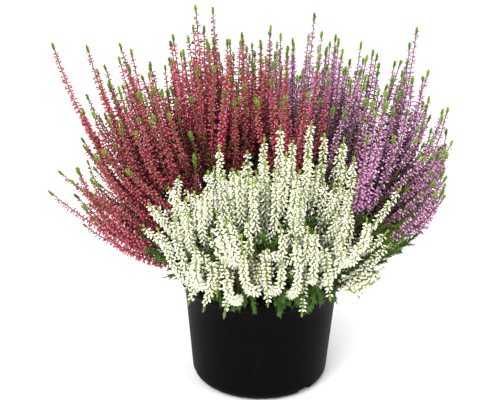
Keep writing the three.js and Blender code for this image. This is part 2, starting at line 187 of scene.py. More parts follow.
# %% Name the shoots that stand out
LEADERS = dict(  # the tips of each plant's leaders
    crimson=[
        (-170, 5, 291), (-143, 8, 289), (-119, 30, 285), (-107, 2, 288), (-78, 36, 286), (-74, 12, 298),
        (-56, 14, 322), (-43, 36, 315), (-30, 0, 298), (-177, -10, 170), (-172, 15, 178), (-150, -27, 197),
        (-143, 28, 204), (-138, -8, 238), (-128, 22, 256), (-148, 32, 240), (-140, -20, 184),
        (-116, -14, 262), (-152, 20, 206), (-128, -30, 214), (-134, 45, 262), (-94, 20, 270),
        (-100, -6, 256), (-88, -14, 262), (-156, -22, 184)],
    lilac=[
        (80, -6, 266), (104, 6, 268), (92, -6, 262), (13, 52, 290), (40, 34, 312), (58, 36, 294),
        (88, 20, 286), (121, 10, 308), (134, 20, 270), (149, 0, 245), (153, -15, 222), (148, -28, 196),
        (152, 14, 208), (136, -20, 226), (134, 6, 252), (150, 34, 232), (141, -10, 176), (118, -8, 272),
        (146, 26, 188)],
    white=[
        (6, -94, 108), (55, -88, 111), (-34, -90, 114), (-90, -58, 180), (-73, -68, 198), (-82, -72, 165),
        (38, -26, 240), (64, -30, 228), (110, -42, 190), (98, -66, 132), (-60, -78, 112)],
)
LOW_BELOW, LOW_LEAN = 230, 0.72  # a leader that ends lower than this lies down the more
LOW_RANGE = 60  # and lies as far down as it may when it ends this much lower still
DROOPS_BELOW = 120  # a leader that ends lower than this hangs over the lip
LATE = dict(below=212, by=0.35, last=0.75)  # how much later the buds begin on a lilac shoot that lies low
LONE_ABOVE, LONE_BEYOND = 280, 138  # a leader that ends higher or further out than this stands alone
print("leaders:", sum(len(tips) for tips in LEADERS.values()))


# %% Draw the plan
GOLDEN_ANGLE = 137.508
WHITE = dict(in_front_of=-0.07, azimuths=(-146, -27))  # the ground of the white plant


def seeded(seed):
    """A generator that gives the same draws every time."""
    state = [seed]

    def draw():
        state[0] = (state[0] * 1664525 + 1013904223) % 2**32
        return state[0] / 2**32

    return draw


def mix(a, b, t):
    return a + (b - a) * t


def plant_at(x, y):
    first, last = WHITE["azimuths"]
    if y < WHITE["in_front_of"] and first < atan2(y, x) / radians(1) < last:
        return "white"
    return "lilac" if x > 0.15 - 0.25 * y else "crimson"


def plan_of_shoots():
    shoots = []
    for spray in range(BUSH["sprays"]):
        rho = 0.92 * ((spray + 0.5) / BUSH["sprays"]) ** 0.48
        azimuth = spray * radians(GOLDEN_ANGLE)
        root = (rho * cos(azimuth), rho * sin(azimuth))
        for i in range(BUSH["shoots"]):
            turn = azimuth + i * 2 * pi / BUSH["shoots"]
            plan = [root[0] + BUSH["cell"] * cos(turn), root[1] + BUSH["cell"] * sin(turn)]
            shoots.append(dict(spray=spray, root=root, plan=plan, plant=plant_at(*root)))
    return shoots


def space_out(plans, passes=30, ease=0.12):
    """Pushes places apart in the plan until none crowds another."""
    for _ in range(passes):
        for p in plans:
            for q in plans:
                apart = hypot(q[0] - p[0], q[1] - p[1])
                if p is q or apart > BUSH["spacing"]:
                    continue
                push = ease * (BUSH["spacing"] - apart) / max(apart, 1e-3)
                dx, dy = (q[0] - p[0]) * push, (q[1] - p[1]) * push
                p[0], p[1], q[0], q[1] = p[0] - dx, p[1] - dy, q[0] + dx, q[1] + dy


shoots = plan_of_shoots()
space_out([s["plan"] for s in shoots])
print("flowering shoots in the plan:", len(shoots))


# %% Give every shoot its tip
OUTLINE_LEAST = min(reach for azimuth, reach, height in OUTLINE)


def outline_at(azimuth):
    """Reach and height of the outline at an azimuth in degrees."""
    k = next((i for i, row in enumerate(OUTLINE) if row[0] >= azimuth), 0)
    a, b = OUTLINE[max(1, k) - 1], OUTLINE[max(1, k)]
    t = (azimuth - a[0]) / (b[0] - a[0])
    return mix(a[1], b[1], t), mix(a[2], b[2], t)


def tip_of(shoot, draw):
    x, y = shoot["plan"]
    rho, azimuth = min(1, hypot(x, y)), atan2(y, x)
    reach, edge = outline_at(azimuth / radians(1))
    out = reach * rho**0.75 * mix(0.96, 1.03, draw())
    plant = PLANTS[shoot["plant"]]
    top = max(plant["top"], edge)
    height = mix(top, edge, rho ** mix(*plant["fall"], draw())) + mix(-22, 8, draw())
    return np.array([out * cos(azimuth), out * sin(azimuth), height])


def place_leaders(shoots):
    """Gives each leader's tip to the shoot of its plant that ends nearest."""
    for plant, tips in LEADERS.items():
        for tip in tips:
            free = [s for s in shoots if s["plant"] == plant and not s.get("leads")]
            nearest = min(free, key=lambda s: np.linalg.norm(s["tip"] - tip))
            nearest.update(tip=np.array(tip, float), leads=True, droops=tip[2] < DROOPS_BELOW)


def skirt_shoots():
    """Three leafy shoots to each spray round the rim. They are the higher the higher the outline is."""
    found = []
    for i in range(SKIRT["sprays"]):
        middle = SKIRT["first"] + i * 360 / SKIRT["sprays"]
        foot = SKIRT["root_radius"] / BUSH["root_radius"]
        root = (foot * cos(radians(middle)), foot * sin(radians(middle)))
        for side in (0, -1, 1):
            azimuth = middle + side * SKIRT["fan"]
            reach, edge = outline_at(azimuth)
            out = SKIRT["reach"] + SKIRT["grow"] * (reach - OUTLINE_LEAST)
            height = SKIRT["low"] + max(-4, 0.5 * (edge - 150)) - 4 * abs(side)
            unit = (cos(radians(azimuth)), sin(radians(azimuth)))
            tip = np.array([out * unit[0], out * unit[1], height])
            found.append(dict(spray=BUSH["sprays"] + i, root=root, plan=unit, tip=tip, plant="leafy",
                              draw=0.5))
    return found


draw = seeded(8355)
for shoot in shoots:
    shoot["tip"] = tip_of(shoot, draw)
    shoot["draw"] = draw()
place_leaders(shoots)
shoots += skirt_shoots()
highest = max(s["tip"][2] for s in shoots)
print("shoots with the leafy ones:", len(shoots), "- highest tip at", highest, "mm")

# %% [markdown]
# ## The lines of the shoots
# A heather stem leaves the soil leaning outwards and then turns up to the light. A cubic curve with
# one handle at the foot and one at the tip draws that in a single sweep. The first shoot of a spray
# is its trunk, and the other two fork from it low down.

# %% Draw a curve for every shoot
HANDLES = (0.34, 0.48)  # the lengths of a curve's handles at the foot and the tip, as shares of its own
FIRST_BUD = 0.29  # the share of a shoot below which no raceme starts


def shares(t):
    """The shares that a cubic curve's four control points have in its points at t."""
    t = np.atleast_1d(np.asarray(t, float))[:, None]
    return np.hstack([(1 - t) ** 3, 3 * t * (1 - t) ** 2, 3 * t * t * (1 - t), t**3])


def slopes(t):
    """The same for the curve's direction."""
    t = np.atleast_1d(np.asarray(t, float))[:, None]
    return np.hstack([-3 * (1 - t) ** 2, 3 * (1 - t) * (1 - 3 * t), 3 * t * (2 - 3 * t), 3 * t * t])


def unit(v):
    v = np.asarray(v, float)
    return v / np.maximum(np.linalg.norm(v, axis=-1, keepdims=True), 1e-9)


def length_of(curve):
    points = shares(np.linspace(0, 1, 201)) @ curve
    return np.linalg.norm(np.diff(points, axis=0), axis=1).sum()


def tip_direction(shoot):
    outward = unit(shoot["tip"] - [0, 0, BUSH["heart"]])
    if shoot.get("droops"):
        return unit([outward[0], outward[1], -2])
    low = min(1, max(0, (LOW_BELOW - shoot["tip"][2]) / LOW_RANGE)) if shoot.get("leads") else 0
    lean = mix(PLANTS[shoot["plant"]]["lean"], LOW_LEAN, low)
    return unit(mix(outward, np.array([0, 0, 1.0]), 1 - lean))


def curve_to(shoot, start, direction):
    tip = shoot["tip"]
    length = BUSH["droop_rise"] if shoot.get("droops") else np.linalg.norm(tip - start)
    rising, bowing = (share * length for share in HANDLES)
    return np.array([start, start + rising * direction, tip - bowing * tip_direction(shoot), tip])


def trunk_curve(shoot):
    x, y = shoot["root"]
    foot = np.array([x * BUSH["root_radius"], y * BUSH["root_radius"], COMPOST["level"] + 1])
    away = unit((shoot["tip"] - foot) * [1, 1, 0]) * PLANTS[shoot["plant"]]["outwards"]
    return curve_to(shoot, foot, unit(away * min(1, hypot(*shoot["plan"])) + [0, 0, 0.85]))


def twig_curve(shoot, trunk, fork):
    start = (shares(fork) @ trunk)[0]
    along = unit(slopes(fork) @ trunk)[0]
    return curve_to(shoot, start, unit(mix(along, unit(shoot["tip"] - start), 0.5)))


def draw_curves(spray):
    """Gives a spray's shoots their curves, and the place on each where its raceme starts."""
    spray.sort(key=lambda s: not s.get("leads"))
    trunk = trunk_curve(spray[0])
    for shoot, fork in zip(spray, FORKS):
        shoot["fork"] = fork
        shoot["curve"] = twig_curve(shoot, trunk, fork) if fork else trunk
        length = length_of(shoot["curve"])
        plant = PLANTS[shoot["plant"]]
        spike = plant["spike"] * mix(0.9, 1.1, shoot["draw"])
        shoot["start"] = max(FIRST_BUD, 1 - plant["tip"] / length - spike / length)


spray_count = BUSH["sprays"] + SKIRT["sprays"]
sprays = [[s for s in shoots if s["spray"] == k] for k in range(spray_count)]
for spray in sprays:
    draw_curves(spray)
shoots = [s for spray in sprays for s in spray]
mean = np.mean([length_of(s["curve"]) for s in shoots])
print("sprays:", len(sprays), "- mean shoot", round(mean), "mm long")

# %% [markdown]
# ## Room for every raceme
# Racemes don't grow through one another. Each one is given a few sample points with the room that its
# buds need, and wherever two come too near, the curves bend a little apart. Sixty small steps settle
# the whole bush. The same helper later finds room for the finer side shoots, while the first shoots
# hold still.

# %% Bend the curves clear of each other
SAMPLES = np.linspace(0.07, 1, 23)
STEM_ROOM, TOP_ROOM = 1.6, 0.62  # mm round a bare stem, and a raceme's room at its top as a share
EASE = 0.3  # the share of what two shoots lack between them that one pass makes up
LIP_BAND = dict(inside=5, width=16, deepest=14)  # mm round the rim where a shoot is lifted off the lip


def room_of(shoots, samples, slim):
    """Each sample's radius, and whether it is in a raceme."""
    start = np.array([[s["start"]] for s in shoots])
    reach = np.array([[PLANTS[s["plant"]]["reach"] * slim] for s in shoots])
    done = np.maximum(0, samples - start) / (1 - start)
    blooms = samples > start - 0.03
    return np.where(blooms, reach * mix(1, TOP_ROOM, done), STEM_ROOM).ravel(), blooms.ravel()


def bend_clear(movers, still, samples, passes, slim=1.0, gap=1.0):
    """Bends the movers' curves until their samples are clear of each other and of the still ones."""
    everyone = movers + still
    share = shares(samples)
    room, blooms = room_of(everyone, samples, slim)
    family = np.repeat([s["spray"] for s in everyone], len(samples))
    owner = np.repeat(np.arange(len(everyone)), len(samples))
    mine = len(movers) * len(samples)
    pull = share[:, 1:] * np.ones((len(movers), 1, 1))
    pull[np.array([bool(s.get("leads")) for s in movers]), :, 2] = 0
    pull /= np.maximum(0.1, (pull**2).sum(2, keepdims=True))
    curves = np.array([s["curve"] for s in everyone])
    apart_ok = (family[:mine, None] == family) & ~(blooms[:mine, None] | blooms)
    apart_ok |= owner[:mine, None] == owner
    wanted = np.where(apart_ok, 0, room[:mine, None] + room + gap)
    for _ in range(passes):
        points = np.einsum("kc,ncx->nkx", share, curves).reshape(-1, 3)
        a, b = points[:mine], points
        square = (a**2).sum(1)[:, None] + (b**2).sum(1) - 2 * a @ b.T
        i, j = np.nonzero(square < wanted**2)
        distance = np.linalg.norm(points[j] - points[i], axis=1)
        lack = wanted[i, j] - distance
        pair = owner[i] * len(everyone) + owner[j]
        order = np.lexsort((-lack, pair))
        pair = pair[order]
        worst = order[np.r_[True, pair[1:] != pair[:-1]]] if len(order) else order
        i, j, lack, distance = i[worst], j[worst], lack[worst], distance[worst]
        way = -EASE * (lack / np.maximum(distance, 1e-6))[:, None] * (points[j] - points[i])
        moves = np.zeros((len(movers), 3, 3))
        np.add.at(moves, owner[i], pull[owner[i], i % len(samples)][:, :, None] * way[:, None, :])
        moves += lift_off_lip(movers, points[:mine], room[:mine], pull)
        curves[: len(movers), 1:] += moves
        for n, s in enumerate(movers):
            if s.get("trunk") is not None:
                curves[n, 0] = (shares(s["fork"]) @ curves[s["trunk"]])[0]
    for shoot, curve in zip(movers, curves):
        shoot["curve"] = curve


def lift_off_lip(movers, points, room, pull):
    """Raises what would lie in the pot's lip."""
    across = np.hypot(points[:, 0], points[:, 1])
    first = POT["rim_radius"] - LIP_BAND["inside"]
    lack = POT["height"] + room + 1 - points[:, 2]
    low = (across > first) & (across < first + LIP_BAND["width"]) & (lack > 0) & (lack < LIP_BAND["deepest"])
    low = low.reshape(len(movers), -1) & ~np.array([[bool(s.get("droops"))] for s in movers])
    moves = np.zeros((len(movers), 3, 3))
    moves[:, :, 2] = (pull * (0.5 * lack.reshape(low.shape) * low)[:, :, None]).sum(1)
    return moves


first_of = {}
for n, shoot in enumerate(shoots):
    first_of.setdefault(shoot["spray"], n)
    shoot["trunk"] = first_of[shoot["spray"]] if shoot["fork"] else None
bend_clear(shoots, [], SAMPLES, 60)
highest = max(s["curve"][3][2] for s in shoots)
print("bent", len(shoots), "shoots; the highest tip is now at", round(highest, 1), "mm")


# %% Name the sprays as the CAD does, and measure how well they agree
def node_names(sprays):
    seen, names = {}, []
    for spray in sprays:
        plant = spray[0]["plant"]
        seen[plant] = seen.get(plant, 0) + 1
        names.append(f"{plant}_spray_{seen[plant]:02d}")
    return names


def worst_miss(sprays, names):
    """The furthest that a shoot's tip is from its CAD node, in mm."""
    worst = 0
    for spray, name in zip(sprays, names):
        solid = np.array([v.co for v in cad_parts[name].data.vertices]) / MM
        for shoot in spray:
            worst = max(worst, np.linalg.norm(solid - shoot["curve"][3], axis=1).min())
    return worst


names = node_names(sprays)
print("tips agree with the CAD's within", round(worst_miss(sprays, names), 2), "mm")

# %% [markdown]
# ## Side shoots
# A bush of this size carries a few hundred racemes. The CAD holds the ones that give it its shape, and
# each of them forks into finer side shoots here. A side shoot is a piece of its parent's own curve,
# from the fork on, pushed sideways, so it runs alongside as real ones do. It ends a little lower, and
# beside a leader much lower, because the leaders stand alone at the top.
#
# Three more kinds complete the bush. Lilac shoots that lie low carry **leafy shoots** under them.
# From the foot of the front and back shoots others **hang over the lip**. And where the bush still
# shows a gap, a **filler** leads a side shoot of the nearest shoot to a tip of its own.

# %% Fork the side shoots
SIDES = dict(crimson=3, lilac=3, white=2, leafy=3)  # to a shoot
THIN_BELOW = 172  # a white shoot that ends lower than this has no side shoots
SIDE = dict(fork=(0.2, 0.42), spread=(10, 13), scatter=0.1, spike=(0.72, 1.0), first_bud=0.12)
PUSHED = [0.25, 0.9, 1]  # how far the last three control points of a curve follow a push
# How many mm a side shoot ends below its parent: much below one that stands out high at a side or far
# to the left, less below a leader at the top, and little below any other.
DROPS = dict(beside=(40, 75), top=(8, 45), other=(4, 26), far_left=-160)
# Leafy shoots under a low raceme that reaches far enough out, and their pushes in mm.
UNDER = dict(count=5, beyond=105, drop=(26, 56), aside=(4, 5), down=(-7, 1), pushed=[0.3, 1, 1])
# Shoots over the lip: how many to a parent, how far they scatter in radians, the heights where they end
# and how high they climb first. HANG has where they fork and end, their shoulder as a share of the way
# out and mm below the climb, where their leaves or buds start, and which parents have any.
OVER_LIP = dict(
    leafy=dict(count=4, scatter=0.12, low=(90, 103), rise=118),
    white=dict(count=1, scatter=0.16, low=(96, 118), rise=150),
)
HANG = dict(fork=0.16, out=(76, 83), shoulder=(0.93, 6), start=0.35, flank=0.76, front=55)
FILLERS = [  # a plant, and the tips of side shoots that fill a gap in it
    ("crimson", (-84, 8, 254), (-90, 16, 246), (-97, 14, 274), (-112, 12, 270), (-62, 16, 284),
     (-46, 20, 290), (0, 30, 276), (-144, -12, 172), (-148, -4, 164)),
    ("lilac", (38, 40, 292), (46, 28, 286), (66, 20, 272), (90, 10, 270), (98, -2, 262), (110, 0, 256),
     (86, -10, 250), (104, -12, 246), (116, 6, 264), (146, -12, 200), (148, -6, 212), (144, -24, 186)),
    ("white", (96, -56, 118), (88, -68, 122), (104, -50, 146)),
    ("crimson", (-60, -8, 206), (-66, 0, 220)),
    ("white", (-57, -52, 188), (-62, -44, 196)),
    ("crimson", (-150, -10, 158), (-142, -16, 160)),
    ("lilac", (150, -4, 200), (150, 4, 210), (44, 30, 296), (112, 12, 279), (106, 16, 276),
     (120, 2, 270), (84, 16, 282), (78, 4, 274), (93, 14, 276), (58, 26, 288), (63, 12, 284),
     (22, 36, 290), (3, 46, 297)),
    ("crimson", (-18, 24, 292), (-48, 20, 300), (-117, 26, 276), (-135, 14, 266), (-96, 4, 268)),
    ("lilac", (86, 6, 268), (90, 20, 284), (119, 10, 278)),
    ("crimson", (-146, 6, 236), (-154, -6, 166)),
    ("lilac", (19, 26, 286), (60, 30, 292), (92, 2, 190), (99, 6, 200)),
    ("leafy", (98, -36, 112), (88, -44, 108), (104, -28, 120), (80, -56, 104), (112, -24, 132),
     (40, -82, 102)),
    ("white", (-50, -86, 100), (-22, -92, 98)),
    ("leafy", (92, -40, 118), (96, -30, 106)),
    ("white", (-56, -76, 98)),
    ("leafy", (-96, -40, 134), (-104, -34, 140), (-88, -44, 124)),
]
rng = np.random.default_rng(8355)


def part_of(curve, a, b):
    """The control points of a cubic curve's stretch from a to b."""

    def blossom(*ts):
        points = list(curve)
        for t in ts:
            points = [mix(p, q, t) for p, q in zip(points, points[1:])]
        return points[0]

    return np.array([blossom(a, a, a), blossom(a, a, b), blossom(a, b, b), blossom(b, b, b)])


def sideways(curve, turn):
    """A unit direction square to the curve's end."""
    along = unit(curve[3] - curve[2])
    flat = unit(np.cross(along, [0.3, 1, 0.1]))
    return cos(turn) * flat + sin(turn) * np.cross(along, flat)


def is_low(shoot, *plants):
    return shoot["plant"] in plants and shoot["tip"][2] < LOW_BELOW


def as_side(parent, curve, start):
    """A side shoot of its parent's plant and spray."""
    return dict(parent, curve=curve, trunk=None, leads=False, fork=SIDE["fork"][0], side=True, start=start)


def side_shoot(parent, turn, drop, spread):
    length = length_of(parent["curve"])
    curve = part_of(parent["curve"], rng.uniform(*SIDE["fork"]), 1 - drop / length)
    push = sideways(curve, turn) * spread
    if is_low(parent, "crimson", "lilac"):  # nothing hangs under these
        push[2] = abs(push[2])
    curve[1:] += np.outer(PUSHED, push)
    plant = PLANTS[parent["plant"]]
    whole = length_of(curve)
    start = 1 - plant["tip"] / whole - plant["spike"] * rng.uniform(*SIDE["spike"]) / whole
    rng.random()  # a spare draw, which keeps the later ones as they are
    return as_side(parent, curve, max(SIDE["first_bud"], start))


def side_shoots(parent):
    x, y, z = parent["tip"]
    first, count = rng.uniform(0, 2 * pi), SIDES[parent["plant"]] + is_low(parent, "lilac")
    if parent["plant"] == "white" and z < THIN_BELOW:
        count = 0
    drops = DROPS["other"]
    if hypot(x, y) > LONE_BEYOND and (z > LONE_ABOVE or x < DROPS["far_left"]):
        drops = DROPS["beside"]
    elif z > LONE_ABOVE and parent.get("leads"):
        drops = DROPS["top"]
    found = []
    for i in range(count):
        drop = rng.uniform(*drops)
        turn = first + (i * 2 / count + rng.normal(0, SIDE["scatter"])) * pi
        found.append(side_shoot(parent, turn, drop, rng.uniform(*SIDE["spread"])))
    return found


def under_shoots(parent):
    """Leafy side shoots on the underside of a raceme that lies low."""
    if not is_low(parent, "lilac") or hypot(*parent["tip"][:2]) < UNDER["beyond"]:
        return []
    found = []
    for _ in range(UNDER["count"]):
        leafy = side_shoot(dict(parent, plant="leafy"), 0, rng.uniform(*UNDER["drop"]), 0)
        push = [*(rng.normal(0, aside) for aside in UNDER["aside"]), rng.uniform(*UNDER["down"])]
        leafy["curve"][1:] += np.outer(UNDER["pushed"], push)
        found.append(leafy)
    return found


def may_hang(parent, azimuth):
    """The rim's leafy shoots hang at the front and back, and the white trunks at the front."""
    if parent["plant"] == "leafy":
        return abs(cos(azimuth)) <= HANG["flank"]
    in_front = abs(azimuth + pi / 2) <= radians(HANG["front"])
    return parent["plant"] == "white" and not parent["fork"] and in_front


def lip_shoots(parent):
    """Side shoots that rise from the foot of a front or rim shoot and hang over the pot's lip."""
    azimuth = atan2(*parent["tip"][1::-1])
    if not may_hang(parent, azimuth):
        return []
    kind = OVER_LIP[parent["plant"]]
    share, sink = HANG["shoulder"]
    found = []
    for _ in range(kind["count"]):
        way, out = azimuth + rng.normal(0, kind["scatter"]), rng.uniform(*HANG["out"])
        low, rise = rng.uniform(*kind["low"]), kind["rise"]
        flat = np.array([cos(way), sin(way), 0])
        start = (shares(HANG["fork"]) @ parent["curve"])[0]
        rising = start * [1.1, 1.1, 0] + [0, 0, rise]
        hang = [start, rising, share * out * flat + [0, 0, rise - sink], out * flat + [0, 0, low]]
        found.append(as_side(parent, np.array(hang), HANG["start"]))
    return found


def keep_inside(shoots, margin):
    """Draws handles and tips in to the CAD's box, less a margin. A curve never leaves its handles' hull."""
    low, high = (np.array(corner) / MM for corner in cad_box)
    for shoot in shoots:
        shoot["curve"][1:] = np.clip(shoot["curve"][1:], low + margin, high - margin)


def filler(plant, tip):
    """A side shoot of the nearest shoot of its plant, led to a tip of its own."""
    own = (s for s in shoots if s["plant"] == plant)
    found = side_shoot(min(own, key=lambda s: np.linalg.norm(s["curve"][3] - tip)), 0, 2, 0)
    found["curve"][1:] += np.outer(PUSHED, tip - found["curve"][3])
    return found


sides = [side for shoot in shoots for side in side_shoots(shoot) + under_shoots(shoot) + lip_shoots(shoot)]
sides += [filler(plant, tip) for plant, *tips in FILLERS for tip in tips]
bend_clear(sides, shoots, np.linspace(0.35, 1, 9), 16, slim=0.74, gap=0.3)
keep_inside(sides, [4, 4, 1])
for spray in sprays:
    spray += [s for s in sides if s["spray"] == spray[0]["spray"]]
for shoot in shoots + sides:
    shoot["low"] = shoot["plant"] == "lilac" and shoot["tip"][2] < LATE["below"]
    shoot["start"] = min(LATE["last"], shoot["start"] + LATE["by"] * shoot["low"])
print("side shoots:", len(sides), "- in all", sum(len(s) for s in sprays))

# %% [markdown]
# ## Light and shade in the bush
# Deep in a heather many buds never form, because little light gets in. So every shoot is given its
# shade at a few places: how much of the other shoots lies between the place and the outside. The buds
# later take their tone from it: where the shade is deep fewer are kept, and the colour of the rest is
# painted darker and duller, a painted shade on top of the shade that the lamps cast.

# %% Measure the shade along every shoot
SHADE_AT = np.linspace(0.3, 1, 12)
SHADE = dict(broad=12.0, near=7, far=90.0)  # mm: how wide a shoot's shade is, and where it falls
BATCH = 600


def measure_shade(everyone):
    points = np.concatenate([shares(SHADE_AT) @ s["curve"] for s in everyone])
    owner = np.repeat(np.arange(len(everyone)), len(SHADE_AT))
    outward = unit(points - [0, 0, BUSH["heart"]])
    shade = np.zeros(len(points))
    for first in range(0, len(points), BATCH):
        some = slice(first, first + BATCH)
        way = points[None] - points[some, None]
        ahead = (way * outward[some, None]).sum(2)
        aside = (way**2).sum(2) - ahead**2
        between = (ahead > SHADE["near"]) & (ahead < SHADE["far"]) & (owner[some, None] != owner)
        shade[some] = (np.exp(-aside / SHADE["broad"] ** 2) * between).sum(1)
    for shoot, own in zip(everyone, shade.reshape(len(everyone), -1)):
        shoot["shade"] = own
    return shade


shade = measure_shade([s for spray in sprays for s in spray])
quarters = np.percentile(shade, [25, 50, 75]).round(1)
print("shade from", round(shade.min(), 1), "to", round(shade.max(), 1), "- quarters", quarters)

# %% [markdown]
# ## Small shapes to repeat
# Everything fine on a heather is a repeat of a few small shapes. A **bud** is a pointed egg on a
# short neck, and starts as a coarse UV sphere. Deep in the bush a **coarse bud** of eight triangles
# does as well. A **scale leaf** is a three-sided cone. A **stem** is a thin four-sided tube with extra
# rings, so that it can follow a curve. A **sprig** is a short stem with ten scale leaves. Buds and
# leaves are repeated tens of thousands of times, so each has only a few faces.

# %% Model the small shapes
def shape_from(bm):
    """A bmesh's points, triangles, and how far round each point stands, folded from 0 to 1."""
    bmesh.ops.triangulate(bm, faces=bm.faces)
    bmesh.ops.recalc_face_normals(bm, faces=bm.faces)
    bm.verts.index_update()
    points = np.array([v.co for v in bm.verts])
    faces = np.array([[v.index for v in f.verts] for f in bm.faces])
    bm.free()
    axis = np.hypot(points[:, 0], points[:, 1]) < 1e-4
    round_ = np.where(axis, 0.5, np.abs(np.arctan2(points[:, 1], points[:, 0])) / pi)
    return dict(points=points, faces=faces, round=round_, along=points[:, 2].copy())


def bud_shape():
    bm = bmesh.new()
    bmesh.ops.create_uvsphere(bm, u_segments=4, v_segments=3, radius=1)
    for v in bm.verts:  # the four heights of the sphere become a neck, a belly, a shoulder and a point
        level, radius = {-2: (0, 0), -1: (0.36, 0.82), 1: (0.7, 1.0), 2: (1, 0)}[round(v.co.z * 2)]
        flat = hypot(v.co.x, v.co.y) or 1
        v.co = (v.co.x / flat * radius, v.co.y / flat * radius, level)
    return shape_from(bm)


def coarse_bud_shape():
    bm = bmesh.new()
    bmesh.ops.create_uvsphere(bm, u_segments=4, v_segments=2, radius=1)
    for v in bm.verts:
        v.co.z = {-1: 0, 0: 0.55, 1: 1}[round(v.co.z)]
    return shape_from(bm)


def leaf_shape():
    bm = bmesh.new()
    bmesh.ops.create_cone(bm, cap_ends=True, segments=3, radius1=1, radius2=0, depth=1)
    bmesh.ops.remove_doubles(bm, verts=bm.verts, dist=1e-4)
    bmesh.ops.translate(bm, verts=bm.verts, vec=(0, 0, 0.5))
    return shape_from(bm)


def stem_shape(rings):
    bm = bmesh.new()
    bmesh.ops.create_cone(bm, cap_ends=True, cap_tris=True, segments=4, radius1=1, radius2=1, depth=1)
    upright = [e for e in bm.edges if abs(e.verts[0].co.z - e.verts[1].co.z) > 0.5]
    bmesh.ops.subdivide_edges(bm, edges=upright, cuts=rings - 2, use_grid_fill=True)
    bmesh.ops.translate(bm, verts=bm.verts, vec=(0, 0, 0.5))
    return shape_from(bm)


BUD, COARSE_BUD, LEAF, STEM = bud_shape(), coarse_bud_shape(), leaf_shape(), stem_shape(12)
print("triangles: bud", len(BUD["faces"]), "leaf", len(LEAF["faces"]), "stem", len(STEM["faces"]))


# %% Repeat a shape
def copies(shape, foot, along, side, length, width, thick=None):
    """The points of a shape's copies, each with its foot, its directions and its sizes."""
    thick = width if thick is None else thick
    axes = zip((side, np.cross(along, side), along), (width, thick, length))
    x, y, z = ((way * np.reshape(size, (-1, 1)))[:, None] for way, size in axes)
    u, v, w = shape["points"].T[:, None, :, None]
    return foot[:, None] + (u * x + v * y) + w * z


def faces_of(shape, count, first=0):
    """The faces of a shape's copies, whose points start at first."""
    steps = first + np.arange(count)[:, None, None] * len(shape["points"])
    return (shape["faces"][None] + steps).reshape(-1, 3)


def square_to(along, hint):
    """Unit directions square to along, near the hint."""
    return unit(hint - (hint * along).sum(1, keepdims=True) * along)


def sprig_shape(leaves=10):
    """A short side twig, one unit long: a thin stem with leaves in four rows."""
    level = np.linspace(0.02, 0.86, leaves)
    turn = np.arange(leaves) * pi / 2 + 0.6 * np.sin(np.arange(leaves) * 2.4)
    out = np.stack([np.cos(turn), np.sin(turn), 0 * turn], 1)
    lean = mix(0.95, 0.3, level)[:, None]
    along = unit(out * np.sin(lean) + np.array([0, 0, 1]) * np.cos(lean))
    foot = np.stack([0 * level, 0 * level, level], 1)
    side = square_to(along, np.cross(out, [0, 0, 1]))
    made = copies(LEAF, foot, along, side, mix(0.36, 0.26, level), mix(0.11, 0.08, level), 0.07 + 0 * level)
    axis = copies(LEAF, np.zeros((1, 3)), np.array([[0, 0, 1.0]]), np.array([[1.0, 0, 0]]), [1.0], [0.05])
    made = np.concatenate([made, axis])
    count = leaves + 1
    return dict(points=made.reshape(-1, 3), faces=faces_of(LEAF, count), round=np.tile(LEAF["round"], count),
                along=np.tile(LEAF["along"], count))


SPRIG = sprig_shape()
print("triangles in a sprig:", len(SPRIG["faces"]))

# %% [markdown]
# ## A palette in the UV map
# One spray holds thousands of tiny closed shapes, far too many to unwrap one by one. So the UV map is
# used as a **palette**: its height says which organ a face belongs to and how far along it lies, and
# its width says which of sixteen tones it has and how far round the bud it lies. The material reads
# nothing else, so equal places of the palette always have equal colours.

# %% Collect the copies of a spray
ROWS = dict(stem=(0.01, 0.19), leaf=(0.21, 0.49), bud=(0.51, 0.99))
TONES = 16
EDGE = 0.1  # mm: how far inside the CAD's box every copy stays


class Pile:
    """Copies of small shapes that become one mesh."""

    def __init__(self):
        self.points, self.faces, self.palette, self.count = [], [], [], 0

    def add(self, shape, points, row, tone):
        low, high = (np.array(corner) / MM for corner in cad_box)
        points = points + np.minimum(0, high - EDGE - points.max(1, keepdims=True))
        points = points + np.maximum(0, low + EDGE - points.min(1, keepdims=True))
        self.faces.append(faces_of(shape, len(points), self.count))
        self.points.append(points.reshape(-1, 3))
        column = np.clip(np.round(np.asarray(tone) * (TONES - 1)), 0, TONES - 1).reshape(-1, 1)
        u = (column + 0.08 + 0.84 * shape["round"]) / TONES
        v = np.broadcast_to(mix(*ROWS[row], shape["along"]), u.shape)
        self.palette.append(np.stack([u, v], 2).reshape(-1, 2))
        self.count += len(self.points[-1])

    def piece(self, name):
        faces = np.concatenate(self.faces)
        mesh = bpy.data.meshes.new(name)
        mesh.from_pydata(np.concatenate(self.points) * MM, [], faces)
        palette = np.concatenate(self.palette)[faces.ravel()]
        mesh.uv_layers.new(name="OFBake").data.foreach_set("uv", palette.ravel())
        mesh.shade_smooth()
        return add_object(name, mesh)


print("palette rows:", list(ROWS), "with", TONES, "tones each")

# %% [markdown]
# ## Growing a raceme
# On heather the buds stand in whorls, and each whorl is turned against the one below, so they look
# like rows of little hooks along the stem. They are largest at the foot of the raceme, sparser and
# smaller towards its top, and hang a little under their own weight. A tiny leaf stands by each whorl.

# %% Find places along a shoot
# Painted shade: between these two shades the buds' colour is painted from its own tone down to a dull dark,
# and more of them are left out.
SUNNY, DARK = 5.0, 26.0  # the shades between which the buds go from bright to dull
